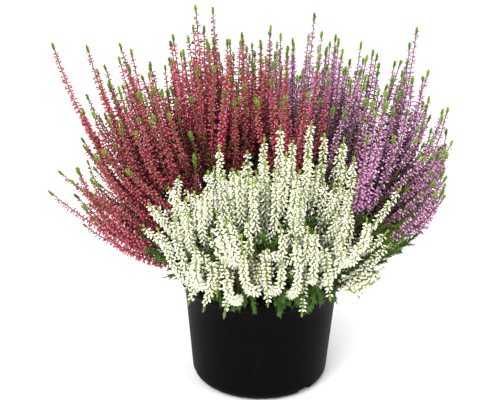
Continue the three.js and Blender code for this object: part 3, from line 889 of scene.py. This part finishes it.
# A look: buds to a whorl, mm from whorl to whorl at the foot and the top, a bud's length and half its
# width in mm, its size at the top, how far it lifts there and droops under its weight; the spire's
# length and its leaves' size; the share of buds missing, how loosely they stand and turn, how much
# shade darkens them, which is painted shade, and strips them; the leaves among them (pitch, to a
# whorl, mm, tone); mm between twigs.
LOOKS = {
    "crimson": dict(per=4, pitch=(2.45, 2.75), bud=4.7, wide=1.06, top=0.55, lift=(-0.1, 0.4), droop=0.3,
                    tip=5, tip_wide=1.1, skip=0.04, loose=0.7, turn=0.28, dim=0.5, bare=0.3,
                    bracts=(2.0, 1, 3.4, 0.45), twigs=6.5, mood=0.6),
    "lilac": dict(per=4, pitch=(2.5, 2.8), bud=4.6, wide=0.95, top=0.6, lift=(0.0, 0.5), droop=0.15, tip=5.5,
                  tip_wide=1.12, skip=0.04, loose=0.7, turn=0.28, dim=0.72, bare=0.6,
                  bracts=(2.7, 1, 2.8, 0.35), twigs=6.5, mood=0.54),
    "white": dict(per=5, pitch=(2.7, 2.9), bud=5.2, wide=1.02, top=0.72, lift=(-0.1, 0.2), droop=0.42, tip=3,
                  tip_wide=0.8, skip=0.02, loose=0.12, turn=0.12, dim=0.85, bare=0.8,
                  bracts=(2.9, 1, 2.6, 0.8), twigs=4.5, mood=0.64),
    "leafy": dict(tip=5, tip_wide=0.9),
}


def frame_at(shoot, t):
    """Points of a shoot's curve, with the directions along it and the two across it."""
    curve = shoot["curve"]
    level = np.cross(curve[3] - curve[0], [0, 0, 1.0]) + [1e-6, 0, 0]
    along = unit(slopes(t) @ curve)
    side = square_to(along, np.tile(unit(level), (len(along), 1)))
    return shares(t) @ curve, along, side, np.cross(along, side)


def places_along(shoot, start, stop, low, high):
    """Places from start to stop whose pitch goes from low to high, and how far along each is."""
    t = np.linspace(start, stop, 80)
    steps = np.linalg.norm(np.diff(shares(t) @ shoot["curve"], axis=0), axis=1)
    reach = np.r_[0, np.cumsum(steps)]
    heights, at = [], 0.0
    while at < reach[-1]:
        heights.append(at)
        at += mix(low, high, at / reach[-1])
    heights = np.array(heights)
    return np.interp(heights, reach, t), heights / max(reach[-1], 1e-6)


def around(shoot, t, turn):
    """Feet and directions of what stands round the stem at t, turned by turn, all as flat lists."""
    centre, along, side, other = frame_at(shoot, t)
    out = np.cos(turn)[:, :, None] * side[:, None] + np.sin(turn)[:, :, None] * other[:, None]
    spread = np.ones(turn.shape[1])[None, :, None]
    return [v.reshape(-1, 3) for v in (centre[:, None] * spread, along[:, None] * spread, out)]


print("looks:", {plant: look.get("bud") for plant, look in LOOKS.items()})


# %% Add the buds
LEAF_TURN = 2.4  # radians from one whorl of leaves, or one twig, to the next
COARSE_FROM = {True: 0.08, False: 0.4}  # the gloom from which a side shoot and any other have coarse buds


def shaded(shoot, t):
    """From 0 in the open to 1 in the heart of the bush."""
    return np.clip((np.interp(t, SHADE_AT, shoot["shade"]) - SUNNY) / (DARK - SUNNY), 0, 1)


def add_buds(pile, shoot, look, mood):
    """A whorl of buds at every place, coarse ones where the shade is deep."""
    length = length_of(shoot["curve"])
    t, done = places_along(shoot, shoot["start"], 1 - look["tip"] / length, *look["pitch"])
    per = look["per"]
    turn = (np.arange(len(t)) * pi / per)[:, None] + np.arange(per) * 2 * pi / per
    turn = (turn + rng.normal(0, look["turn"], turn.shape)).reshape(-1, 1)
    t, done = np.repeat(t, per), np.repeat(done, per)
    t = t + rng.normal(0, look["loose"] / length, len(t))
    centre, along, out = around(shoot, t, turn)
    lift = mix(*look["lift"], done**1.5) + rng.normal(0, 0.6 * look["turn"], len(done))
    aim = out * np.cos(lift)[:, None] + along * np.sin(lift)[:, None]
    aim = unit(aim + [0, 0, -look["droop"]] + rng.normal(0, 0.06, aim.shape))
    size = mix(1, look["top"], done**1.6) * np.minimum(1, 0.6 + 6 * done) * rng.uniform(0.86, 1.1, len(done))
    gloom = shaded(shoot, t)
    # Painted shade: the tone drops with the gloom, so buds deep in the bush are painted darker.
    tone = mood + 0.22 * (done - 0.5) + rng.normal(0, 0.14, len(done)) - look["dim"] * gloom
    kept = rng.random(len(done)) > look["skip"] + 0.4 * done**6 + look["bare"] * gloom**2
    hidden = gloom > COARSE_FROM[shoot.get("side", False)]
    for shape, some in ((BUD, kept & ~hidden), (COARSE_BUD, kept & hidden)):
        wide = look["wide"] * size * (1 if shape is BUD else 1.15)
        points = copies(shape, (centre + out * 0.3)[some], aim[some], square_to(aim, along)[some],
                        (look["bud"] * size)[some], wide[some])
        pile.add(shape, points, "bud", tone[some])


def add_green(pile, shape, stand, aim, sizes, tone):
    """Leaves or twigs, whose broad side looks along the stem."""
    centre, along, out = stand
    side = square_to(aim, np.cross(along, out))
    pile.add(shape, copies(shape, centre, aim, side, *sizes), "leaf", tone)


def add_leaves(pile, shoot, start, stop, pitch, per, size, tone):
    """Small leaves that stand on the stem itself, some to each whorl."""
    t, _ = places_along(shoot, start, stop, pitch, pitch)
    turn = (np.arange(len(t)) * LEAF_TURN)[:, None] + np.arange(per) * 2 * pi / per
    stand = around(shoot, t, turn + rng.normal(0, 0.2, (len(t), per)))
    _, along, out = stand
    aim = unit(out + along * rng.uniform(0.5, 1.2, (len(out), 1)))
    length = size * rng.uniform(0.8, 1.2, len(out))
    tone = tone + rng.normal(0, 0.15, len(out))
    add_green(pile, LEAF, stand, aim, (length, 0.24 * length, 0.14 * length), tone)


print("buds on a raceme 80 mm long:", round(80 / 2.6 * LOOKS["crimson"]["per"]))

# %% [markdown]
# ## Stems, tips and side twigs
# Above the buds each raceme ends in a bright green spire of scale leaves in whorls of four. Below the
# buds the stem is bare bark with short leafy twigs, which fill the heart of the bush with a dark
# green. A leafy shoot has no buds at all: leaves and short twigs clothe it from its foot to its tip.

# %% Add the stem, the green spire and the leafy twigs
WOOD = dict(trunk=1.6, twig=1.3, side=1.0, sunk=1.55, top=0.4)  # the radii of stems in mm
SPIRE = dict(last=1.1, pitch=(1.2, 0.8), lean=(1.05, 0.6), leaf=(3.2, 0.8, 0.5), tone=(0.72, 0.2))
# What clothes a shoot: leaves (pitch, to a whorl, mm, tone) and twigs (pitch, mm, tone), with where
# they start and end on a leafy shoot. The low ones clothe a shoot whose buds begin late.
LEAFY = dict(twigs=(0.25, 0.96, 1.9, 5.0, 0.4), leaves=(0.2, 0.99, 1.2, 3, 3.3, 0.45))
LOW = dict(leaves=(1.4, 3, 3.6, 0.3), twigs=(3.5, 6, 0.25))
INNER_TWIGS = (9, 0.2)


def add_stem(pile, shoot, foot_radius, tip_radius):
    level = STEM["points"][:, 2]
    centre, along, side, other = frame_at(shoot, level)
    radius = mix(foot_radius, tip_radius, level**0.7)[:, None]
    x, y = STEM["points"][:, :1], STEM["points"][:, 1:2]
    points = centre + radius * (x * side + y * other)
    pile.add(STEM, points[None], "stem", [rng.random()])


def add_spire(pile, shoot, look):
    length = length_of(shoot["curve"])
    first, last = (1 - mm / length for mm in (look["tip"], SPIRE["last"]))
    t, done = places_along(shoot, first, last, *SPIRE["pitch"])
    stand = around(shoot, t, (np.arange(len(t)) * pi / 4)[:, None] + np.arange(4) * pi / 2)
    _, along, out = stand
    done = np.repeat(done, 4)
    lean = (mix(*SPIRE["lean"], done) + rng.normal(0, 0.14, len(done)))[:, None]
    aim = unit(out * np.sin(lean) + along * np.cos(lean))
    size = look["tip_wide"] * (0.66 + 0.34 * np.sin(pi * done)) * rng.uniform(0.85, 1.15, len(done))
    tone = np.clip(rng.normal(*SPIRE["tone"]) + rng.normal(0, 0.1, len(done)), 0, 1)
    add_green(pile, LEAF, stand, aim, [mm * size for mm in SPIRE["leaf"]], tone)


def add_twigs(pile, shoot, start, stop, pitch, size, tone):
    t, _ = places_along(shoot, start, stop, pitch, pitch)
    turn = (np.arange(len(t)) * LEAF_TURN + rng.uniform(0, 6))[:, None]
    stand = around(shoot, t, turn + rng.normal(0, 0.2, (len(t), 1)))
    _, along, out = stand
    aim = unit(out * rng.uniform(0.5, 0.9, (len(t), 1)) + along)
    length = size * rng.uniform(0.75, 1.2, len(t))
    add_green(pile, SPRIG, stand, aim, (length, length), tone + rng.normal(0, 0.1, len(t)))


def sink_foot(shoot):
    """The straight foot of a trunk, which stands in its hole in the compost."""
    foot = shoot["curve"][0]
    low = np.array([foot[0], foot[1], COMPOST["level"] - COMPOST["hole"] + 0.5])
    top = foot + unit(shoot["curve"][1] - foot) * 1.5
    return dict(shoot, curve=np.array([low, mix(low, foot, 0.4), mix(low, foot, 0.8), top]))


def grow(pile, shoot):
    look, start = LOOKS[shoot["plant"]], shoot["start"]
    kind = "side" if shoot.get("side") else "twig" if shoot["fork"] else "trunk"
    add_stem(pile, shoot, WOOD[kind], WOOD["top"])
    if kind == "trunk":
        add_stem(pile, sink_foot(shoot), WOOD["trunk"], WOOD["sunk"])
    if shoot["plant"] == "leafy":
        add_twigs(pile, shoot, *LEAFY["twigs"])
        add_leaves(pile, shoot, *LEAFY["leaves"])
    else:
        add_buds(pile, shoot, look, rng.normal(look["mood"], 0.17))
        if shoot["low"]:
            add_leaves(pile, shoot, 0.25, start, *LOW["leaves"])
            add_twigs(pile, shoot, 0.3, start, *LOW["twigs"])
        add_leaves(pile, shoot, start, 1 - look["tip"] / length_of(shoot["curve"]), *look["bracts"])
        add_twigs(pile, shoot, 0.2, start + 0.04, look["twigs"], *INNER_TWIGS)
    add_spire(pile, shoot, look)


print("the helpers are ready for", sum(len(s) for s in sprays), "shoots")

# %% [markdown]
# ## The colours of heather
# The four plants share one way of painting: a node group reads the palette and puts out masks for
# stem, leaf and bud, with how far along each place lies, its tone, and a wave round each bud for its
# folds. Each material then has its own colour ramps: pale or deep buds with a green foot, leaves that
# lighten to their tips, and bark that turns green where the raceme begins. Buds with a low tone, most
# of them deep in the shade, are mixed towards a dark colour, and the folds between the sepals are
# darkened a little: both are painted shade.

# %% Build the palette reader as a shader group
class Net:
    """A node tree, with a short way to add each kind of node to it."""

    def __init__(self, tree):
        self.nodes, self.links = tree.nodes, tree.links

    def new(self, kind):
        return self.nodes.new(kind)

    def feed(self, slot, value):
        """Gives a socket a number or a colour, or links another socket to it."""
        if isinstance(value, bpy.types.NodeSocket):
            self.links.new(value, slot)
        else:
            slot.default_value = value

    def math(self, operation, *values, clamp=False):
        node = self.new("ShaderNodeMath")
        node.operation, node.use_clamp = operation, clamp
        for slot, value in zip(node.inputs, values):
            self.feed(slot, value)
        return node.outputs[0]

    def pick(self, choose, a, b, kind="VALUE"):
        """a where choose is 0 and b where it is 1."""
        node = self.new("ShaderNodeMix")
        node.data_type = "RGBA" if kind == "RGBA" else "FLOAT"
        ends = [s for s in node.inputs if s.type == kind][-2:]
        for slot, value in zip((node.inputs[0], *ends), (choose, a, b)):
            self.feed(slot, value)
        return next(s for s in node.outputs if s.type == kind)

    def ramp(self, value, stops):
        node = self.new("ShaderNodeValToRGB")
        self.feed(node.inputs[0], value)
        marks = node.color_ramp.elements
        while len(marks) < len(stops):
            marks.new(0.5)
        for mark, (place, colour) in zip(marks, sorted(stops)):
            mark.position, mark.color = place, linear(colour)
        return node.outputs[0]

    def bump(self, height, strength, distance):
        node = self.new("ShaderNodeBump")
        for name, value in dict(Height=height, Strength=strength, Distance=distance).items():
            self.feed(node.inputs[name], value)
        return node.outputs[0]

    def group(self, tree):
        node = self.new("ShaderNodeGroup")
        node.node_tree = tree
        return node


def linear(hex_colour):
    """A colour as painters write it, as the linear numbers that shaders use."""
    parts = [int(hex_colour[i: i + 2], 16) / 255 for i in (0, 2, 4)]
    return tuple(c / 12.92 if c < 0.04 else ((c + 0.055) / 1.055) ** 2.4 for c in parts) + (1,)


def new_group(name, **ways):
    """A shader group with a number socket for each name."""
    group = bpy.data.node_groups.new(name, "ShaderNodeTree")
    for way, sockets in ways.items():
        for socket in sockets:
            group.interface.new_socket(socket, in_out=way, socket_type="NodeSocketFloat")
    return group


def palette_group():
    group = new_group("palette_reader", OUTPUT=("Along", "Tone", "Leaf", "Bud", "FoldAndPaintedShade"))
    net = Net(group)
    uv = net.new("ShaderNodeUVMap")
    uv.uv_map = "OFBake"
    split = net.new("ShaderNodeSeparateXYZ")
    net.feed(split.inputs[0], uv.outputs[0])
    u, v = split.outputs[0], split.outputs[1]
    step = net.math("MULTIPLY", u, TONES)
    tone = net.math("DIVIDE", net.math("FLOOR", step), TONES - 1)
    turn = net.math("FRACT", step)
    leaf, bud = (net.math("GREATER_THAN", v, between) for between in (0.2, 0.5))
    in_rows = [net.math("DIVIDE", net.math("SUBTRACT", v, low), high - low, clamp=True)
               for low, high in ROWS.values()]
    along = net.pick(bud, net.pick(leaf, *in_rows[:2]), in_rows[2])
    # A wave round each bud: its height makes the ridges of the sepals in the bump, and where it is low the
    # colour is painted a little darker, a painted shade in the folds.
    wave = net.math("SINE", net.math("MULTIPLY", turn, 4 * pi))
    fold_and_painted_shade = net.math("MULTIPLY", net.math("ABSOLUTE", wave), bud)
    out = net.new("NodeGroupOutput")
    for name, value in dict(Along=along, Tone=tone, Leaf=leaf, Bud=bud, FoldAndPaintedShade=fold_and_painted_shade).items():
        net.feed(out.inputs[name], value)
    return group


PALETTE = palette_group()
print("group:", PALETTE.name, "puts out", [s.name for s in PALETTE.interface.items_tree])


# %% Mix the four heather materials
LEAVES = dict(
    crimson=([(0, "1d2b12"), (1, "3a4a1c")], [(0, "5f7f24"), (1, "a3c244")]),
    lilac=([(0, "1c3312"), (1, "3c5a1f")], [(0, "5f8c26"), (1, "a9cd4a")]),
    white=([(0, "1e3a12"), (1, "3f6620")], [(0, "6c952e"), (1, "b4cf58")]),
    leafy=([(0, "16300d"), (1, "2c5417")], [(0, "3f7420"), (1, "7fb03c")]),
)
BUDS = dict(
    crimson=([(0, "55401e"), (0.2, "7a2834"), (0.6, "90203c"), (1, "aa3450")],
             [(0, "8a6c40"), (0.18, "c83c60"), (0.6, "d4406a"), (1, "eea8b4")]),
    lilac=([(0, "5d6830"), (0.2, "8e4f7c"), (0.6, "aa5a96"), (1, "c680b2")],
           [(0, "8c964a"), (0.22, "cb86c0"), (0.6, "df96d0"), (1, "f6d8ee")]),
    white=([(0, "8fa03c"), (0.2, "bccb80"), (0.36, "e6e9c8"), (1, "eff0d8")],
           [(0, "a8bb58"), (0.14, "d4dca2"), (0.3, "f2f3d8"), (1, "f9f9e6")]),
)
# Painted shade: the dark colour that each plant's buds are mixed towards where their tone is low, most of
# them deep in the bush's shade.
PAINTED_SHADE = dict(crimson="2a100e", lilac="1e1a22", white="22300f")
BARK = {plant: [(0, "2e2118"), (0.35, "4e3c28"), (0.6, "5f5a2c"), (1, green)] for plant, green in
        dict(crimson="6a4a32", lilac="6e5a40", white="98a650", leafy="567a30").items()}


def heather_material(plant):
    material, skin = new_material(f"{plant}_heather")
    net = Net(material.node_tree)
    along, tone, leaf, bud, fold_and_painted_shade = net.group(PALETTE).outputs
    dull, fresh = (net.ramp(along, stops) for stops in LEAVES[plant])
    green = net.pick(tone, dull, fresh, "RGBA")
    colour = net.pick(leaf, net.ramp(along, BARK[plant]), green, "RGBA")
    rough = net.pick(leaf, 0.85, 0.5)
    if plant in BUDS:
        deep, pale = (net.ramp(along, stops) for stops in BUDS[plant])
        petals = net.pick(tone, deep, pale, "RGBA")
        # Painted shade: a low tone mixes the buds towards the dark colour, and the folds between the sepals
        # are painted a little darker.
        sun = net.math("MULTIPLY_ADD", tone, 2.4, 0.3, clamp=True)
        lit = net.math("MULTIPLY", net.math("MULTIPLY_ADD", fold_and_painted_shade, 0.14, 0.86), sun)
        petals = net.pick(lit, linear(PAINTED_SHADE[plant]), petals, "RGBA")
        colour = net.pick(bud, colour, petals, "RGBA")
        rough = net.pick(bud, rough, 0.6)
        net.feed(skin["Normal"], net.bump(fold_and_painted_shade, 0.35, 0.0002))
    net.feed(skin["Base Color"], colour)
    net.feed(skin["Roughness"], rough)
    skin["Specular IOR Level"].default_value = 0.3
    return material


HEATHER = {plant: heather_material(plant) for plant in PLANTS}
print("materials:", [m.name for m in HEATHER.values()])

# %% [markdown]
# ## Growing the whole bush
# Each spray becomes one piece and takes the place of its CAD node.

# %% Grow every spray
def grow_spray(spray, node):
    pile = Pile()
    for shoot in spray:
        grow(pile, shoot)
    piece = pile.piece("grown_" + node)
    plant = spray[0]["plant"]
    piece.data.materials.append(HEATHER[plant])
    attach(piece, "root")
    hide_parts(node)
    return piece


grown = [grow_spray(spray, node) for spray, node in zip(sprays, names)]
faces = [len(piece.data.polygons) for piece in grown]
print("sprays grown:", len(grown), "- triangles", sum(faces), "in all and", max(faces), "in the fullest")

# %% [markdown]
# ## The pot
# A nursery pot is blown or drawn from thin black plastic: a slightly flared wall, a rounded lower
# corner, a lip that stiffens the top, and notches in the corner that let water out. A profile spun
# about the axis gives all but the notches, which three boxes then cut away.

# %% Spin the pot
def wall_radius(z):
    return mix(POT["base_radius"], POT["rim_radius"], z / POT["height"])


def corner_arc(radius, floor, round_, steps):
    turns = [i / steps * pi / 2 for i in range(steps + 1)]
    return [(radius - round_ + round_ * sin(a), floor + round_ - round_ * cos(a)) for a in turns]


def spun(profile, steps, name):
    """A closed body of revolution from a profile of (radius, height) in mm with its ends on the axis."""
    bm = bmesh.new()
    verts = [bm.verts.new((r * MM, 0, z * MM)) for r, z in profile]
    edges = [bm.edges.new(pair) for pair in zip(verts, verts[1:])]
    bmesh.ops.spin(bm, geom=verts + edges, cent=(0, 0, 0), axis=(0, 0, 1), angle=2 * pi, steps=steps,
                   use_merge=True)
    bmesh.ops.remove_doubles(bm, verts=bm.verts, dist=1e-6)
    bmesh.ops.recalc_face_normals(bm, faces=bm.faces)
    return object_from(bm, name)


def pot_profile():
    foot, top, rim = POT["height"] - POT["lip_height"], POT["height"], POT["rim_radius"]
    lip = rim + POT["lip_reach"]
    outside = [(0, 0), *corner_arc(wall_radius(POT["corner"]), 0, POT["corner"], 8)]
    outside += [(wall_radius(z), z) for z in (30, 50, 70, foot - 0.6)]
    outside += [(wall_radius(foot) + 0.5, foot + 0.3), (lip - 0.8, foot + 2.6), (lip - 0.2, foot + 3.6)]
    outside += [(lip - 0.1, top - 0.6), (lip - 0.4, top - 0.1), (lip - 1.1, top), (rim + 0.2, top - 0.1)]
    wall, corner = POT["wall"], POT["corner"]
    inside = [(rim - wall, top - 1), *((wall_radius(z) - wall, z) for z in (70, 40))]
    inside += corner_arc(wall_radius(corner) - wall, POT["floor"], corner - wall, 5)[::-1]
    return outside + inside + [(0, POT["floor"])]


pot = spun(pot_profile(), 96, "moulded_pot")
print("pot:", [round(v / MM, 1) for v in pot.dimensions], "mm,", len(pot.data.polygons), "faces")


# %% Cut the drain notches
def notch_cutter(i):
    bm = bmesh.new()
    bmesh.ops.create_cube(bm, size=1)
    size = (NOTCH["depth"] * MM, NOTCH["width"] * MM, 2 * NOTCH["height"] * MM)
    bmesh.ops.scale(bm, vec=size, verts=bm.verts)
    deep = [e for e in bm.edges if abs(e.verts[0].co.x - e.verts[1].co.x) > 1e-4]
    bmesh.ops.bevel(bm, geom=deep, offset=2.5 * MM, affect="EDGES", segments=3, profile=0.5, material=-1)
    bmesh.ops.translate(bm, vec=(POT["base_radius"] * MM, 0, 0), verts=bm.verts)
    turn = Matrix.Rotation(radians(NOTCH["first"] + i * 360 / NOTCH["count"]), 4, "Z")
    bmesh.ops.transform(bm, matrix=turn, verts=bm.verts)
    return object_from(bm, "cutter")


def cut(piece, cutters):
    for cutter in cutters:
        boolean = piece.modifiers.new("cut", "BOOLEAN")
        boolean.operation, boolean.object, boolean.solver = "DIFFERENCE", cutter, "EXACT"
    evaluated = piece.evaluated_get(bpy.context.evaluated_depsgraph_get())
    mesh = bpy.data.meshes.new_from_object(evaluated)
    piece.modifiers.clear()
    piece.data = mesh
    for cutter in cutters:
        bpy.data.objects.remove(cutter)


cut(pot, [notch_cutter(i) for i in range(NOTCH["count"])])
pot.data.shade_smooth()
pot.data.set_sharp_from_angle(angle=radians(38))
print("pot with notches:", len(pot.data.polygons), "faces")

# %% [markdown]
# ## Black plastic and peat
# Both finishes need a fine grain, so it is one shared group: two sizes of noise mixed into a single
# value. The pot's plastic is near black with a satin face, faint scuffs and a very fine moulded
# texture. Peat is a matt brown, dark where it is wet, with paler fibres.

# %% Build the shared grain
def grain_group():
    group = new_group("grain", INPUT=("Scale", "Stretch"), OUTPUT=("Fine", "Broad"))
    net = Net(group)
    inlet, outlet = net.new("NodeGroupInput"), net.new("NodeGroupOutput")
    place = net.new("ShaderNodeTexCoord").outputs["Object"]
    shape = net.new("ShaderNodeCombineXYZ")
    squeeze = net.new("ShaderNodeVectorMath")
    squeeze.operation = "MULTIPLY"
    for slot, value in zip(shape.inputs, (1, 1, inlet.outputs["Stretch"])):
        net.feed(slot, value)
    for slot, value in zip(squeeze.inputs, (place, shape.outputs[0])):
        net.feed(slot, value)
    for name, times in (("Fine", 1.0), ("Broad", 0.12)):
        speck = net.new("ShaderNodeTexNoise")
        speck.inputs["Detail"].default_value = 4
        net.feed(speck.inputs["Vector"], squeeze.outputs[0])
        net.feed(speck.inputs["Scale"], net.math("MULTIPLY", inlet.outputs["Scale"], times))
        net.feed(outlet.inputs[name], speck.outputs["Fac"])
    return group


GRAIN = grain_group()
print("group:", GRAIN.name)


# %% Mix the plastic and the peat
def grained_material(name, colours, rough, scale, stretch, bump, specular):
    material, skin = new_material(name)
    net = Net(material.node_tree)
    grain = net.group(GRAIN)
    grain.inputs["Scale"].default_value = scale
    grain.inputs["Stretch"].default_value = stretch
    fine, broad = grain.outputs
    both = net.math("MULTIPLY_ADD", broad, 0.6, net.math("MULTIPLY", fine, 0.4))
    net.feed(skin["Base Color"], net.ramp(both, colours))
    net.feed(skin["Roughness"], net.math("MULTIPLY_ADD", both, rough[1] - rough[0], rough[0]))
    net.feed(skin["Normal"], net.bump(fine, *bump))
    skin["Specular IOR Level"].default_value = specular
    return material


PLASTIC = [(0.3, "030404"), (0.55, "060607"), (0.75, "0b0c0d")]
PEAT = [(0.3, "140c07"), (0.5, "2b1b10"), (0.7, "4d3421")]
plastic = grained_material("black_nursery_plastic", PLASTIC, (0.38, 0.6), 900, 0.35, (0.1, 0.0002), 0.028)
peat = grained_material("damp_peat", PEAT, (0.9, 1.0), 420, 1.0, (0.6, 0.0008), 0.2)
pot.data.materials.append(plastic)
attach(pot, "root")
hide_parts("pot")
print("materials:", plastic.name, "and", peat.name)

# %% [markdown]
# ## The compost
# Peat fills the pot to about a centimetre under the lip. Its top is rough: a crumbly surface with small
# lumps half sunk in it. The body is spun like the pot, its top is roughened with noise, and several
# hundred coarse icospheres of different sizes are pressed into it.

# %% Fill the pot
CLEAR = 0.4  # mm between the compost and the pot
CRUMBS = dict(count=700, within=61, sunk=0.6, radius=(0.6, 1.7))


def compost_profile():
    side = lambda z: wall_radius(z) - POT["wall"] - CLEAR
    bottom, level = POT["floor"] + CLEAR, COMPOST["level"]
    edge = level - COMPOST["crown"]
    arc = corner_arc(side(POT["corner"]), bottom, POT["corner"] - POT["wall"], 3)
    ring = side(edge)
    top = [(ring * k, mix(edge, level, min(1, (1 - k) / 0.4))) for k in np.linspace(0.98, 0.04, 22)]
    return [(0, bottom), *arc, (side(50), 50), (ring, edge - 1), *top, (0, level)]


def roughen(piece, above, height):
    for v in piece.data.vertices:
        if v.co.z > above * MM:
            bump = noise.fractal(v.co / (9 * MM), 0.8, 2.1, 3) * height
            v.co.z += (min(0.6, bump) - 0.4) * MM


def crumbs(count, within, sunk, radius):
    """The points and faces of lumps that lie on the compost, lower towards the wall as it is itself."""
    bm = bmesh.new()
    bmesh.ops.create_icosphere(bm, subdivisions=1, radius=1)
    lump = shape_from(bm)
    out, turn = within * np.sqrt(rng.random(count)), rng.uniform(0, 2 * pi, count)
    foot = np.stack([out * np.cos(turn), out * np.sin(turn), 0 * out], 1)
    fall = COMPOST["crown"] * np.clip((out / 62 - 0.6) / 0.4, 0, 1)
    foot[:, 2] = COMPOST["level"] - sunk - fall
    aim = unit(rng.normal(0, 1, (count, 3)))
    size = rng.uniform(*radius, count)
    side = square_to(aim, rng.normal(0, 1, (count, 3)))
    points = copies(lump, foot, aim, side, size, size * 1.3, size * 0.8)
    return points.reshape(-1, 3) * MM, faces_of(lump, count)


def press_in(piece, points, faces):
    """Adds loose closed lumps to a piece's mesh."""
    bm = bmesh.new()
    bm.from_mesh(piece.data)
    lumps = bpy.data.meshes.new("lumps")
    lumps.from_pydata(points, [], faces)
    bm.from_mesh(lumps)
    bm.to_mesh(piece.data)
    bm.free()


compost = spun(compost_profile(), 72, "crumbly_compost")
roughen(compost, COMPOST["level"] - COMPOST["crown"] - 0.5, 1.6)
press_in(compost, *crumbs(**CRUMBS))
compost.data.shade_smooth()
compost.data.materials.append(peat)
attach(compost, "root")
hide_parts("compost")
print("compost:", len(compost.data.polygons), "faces")
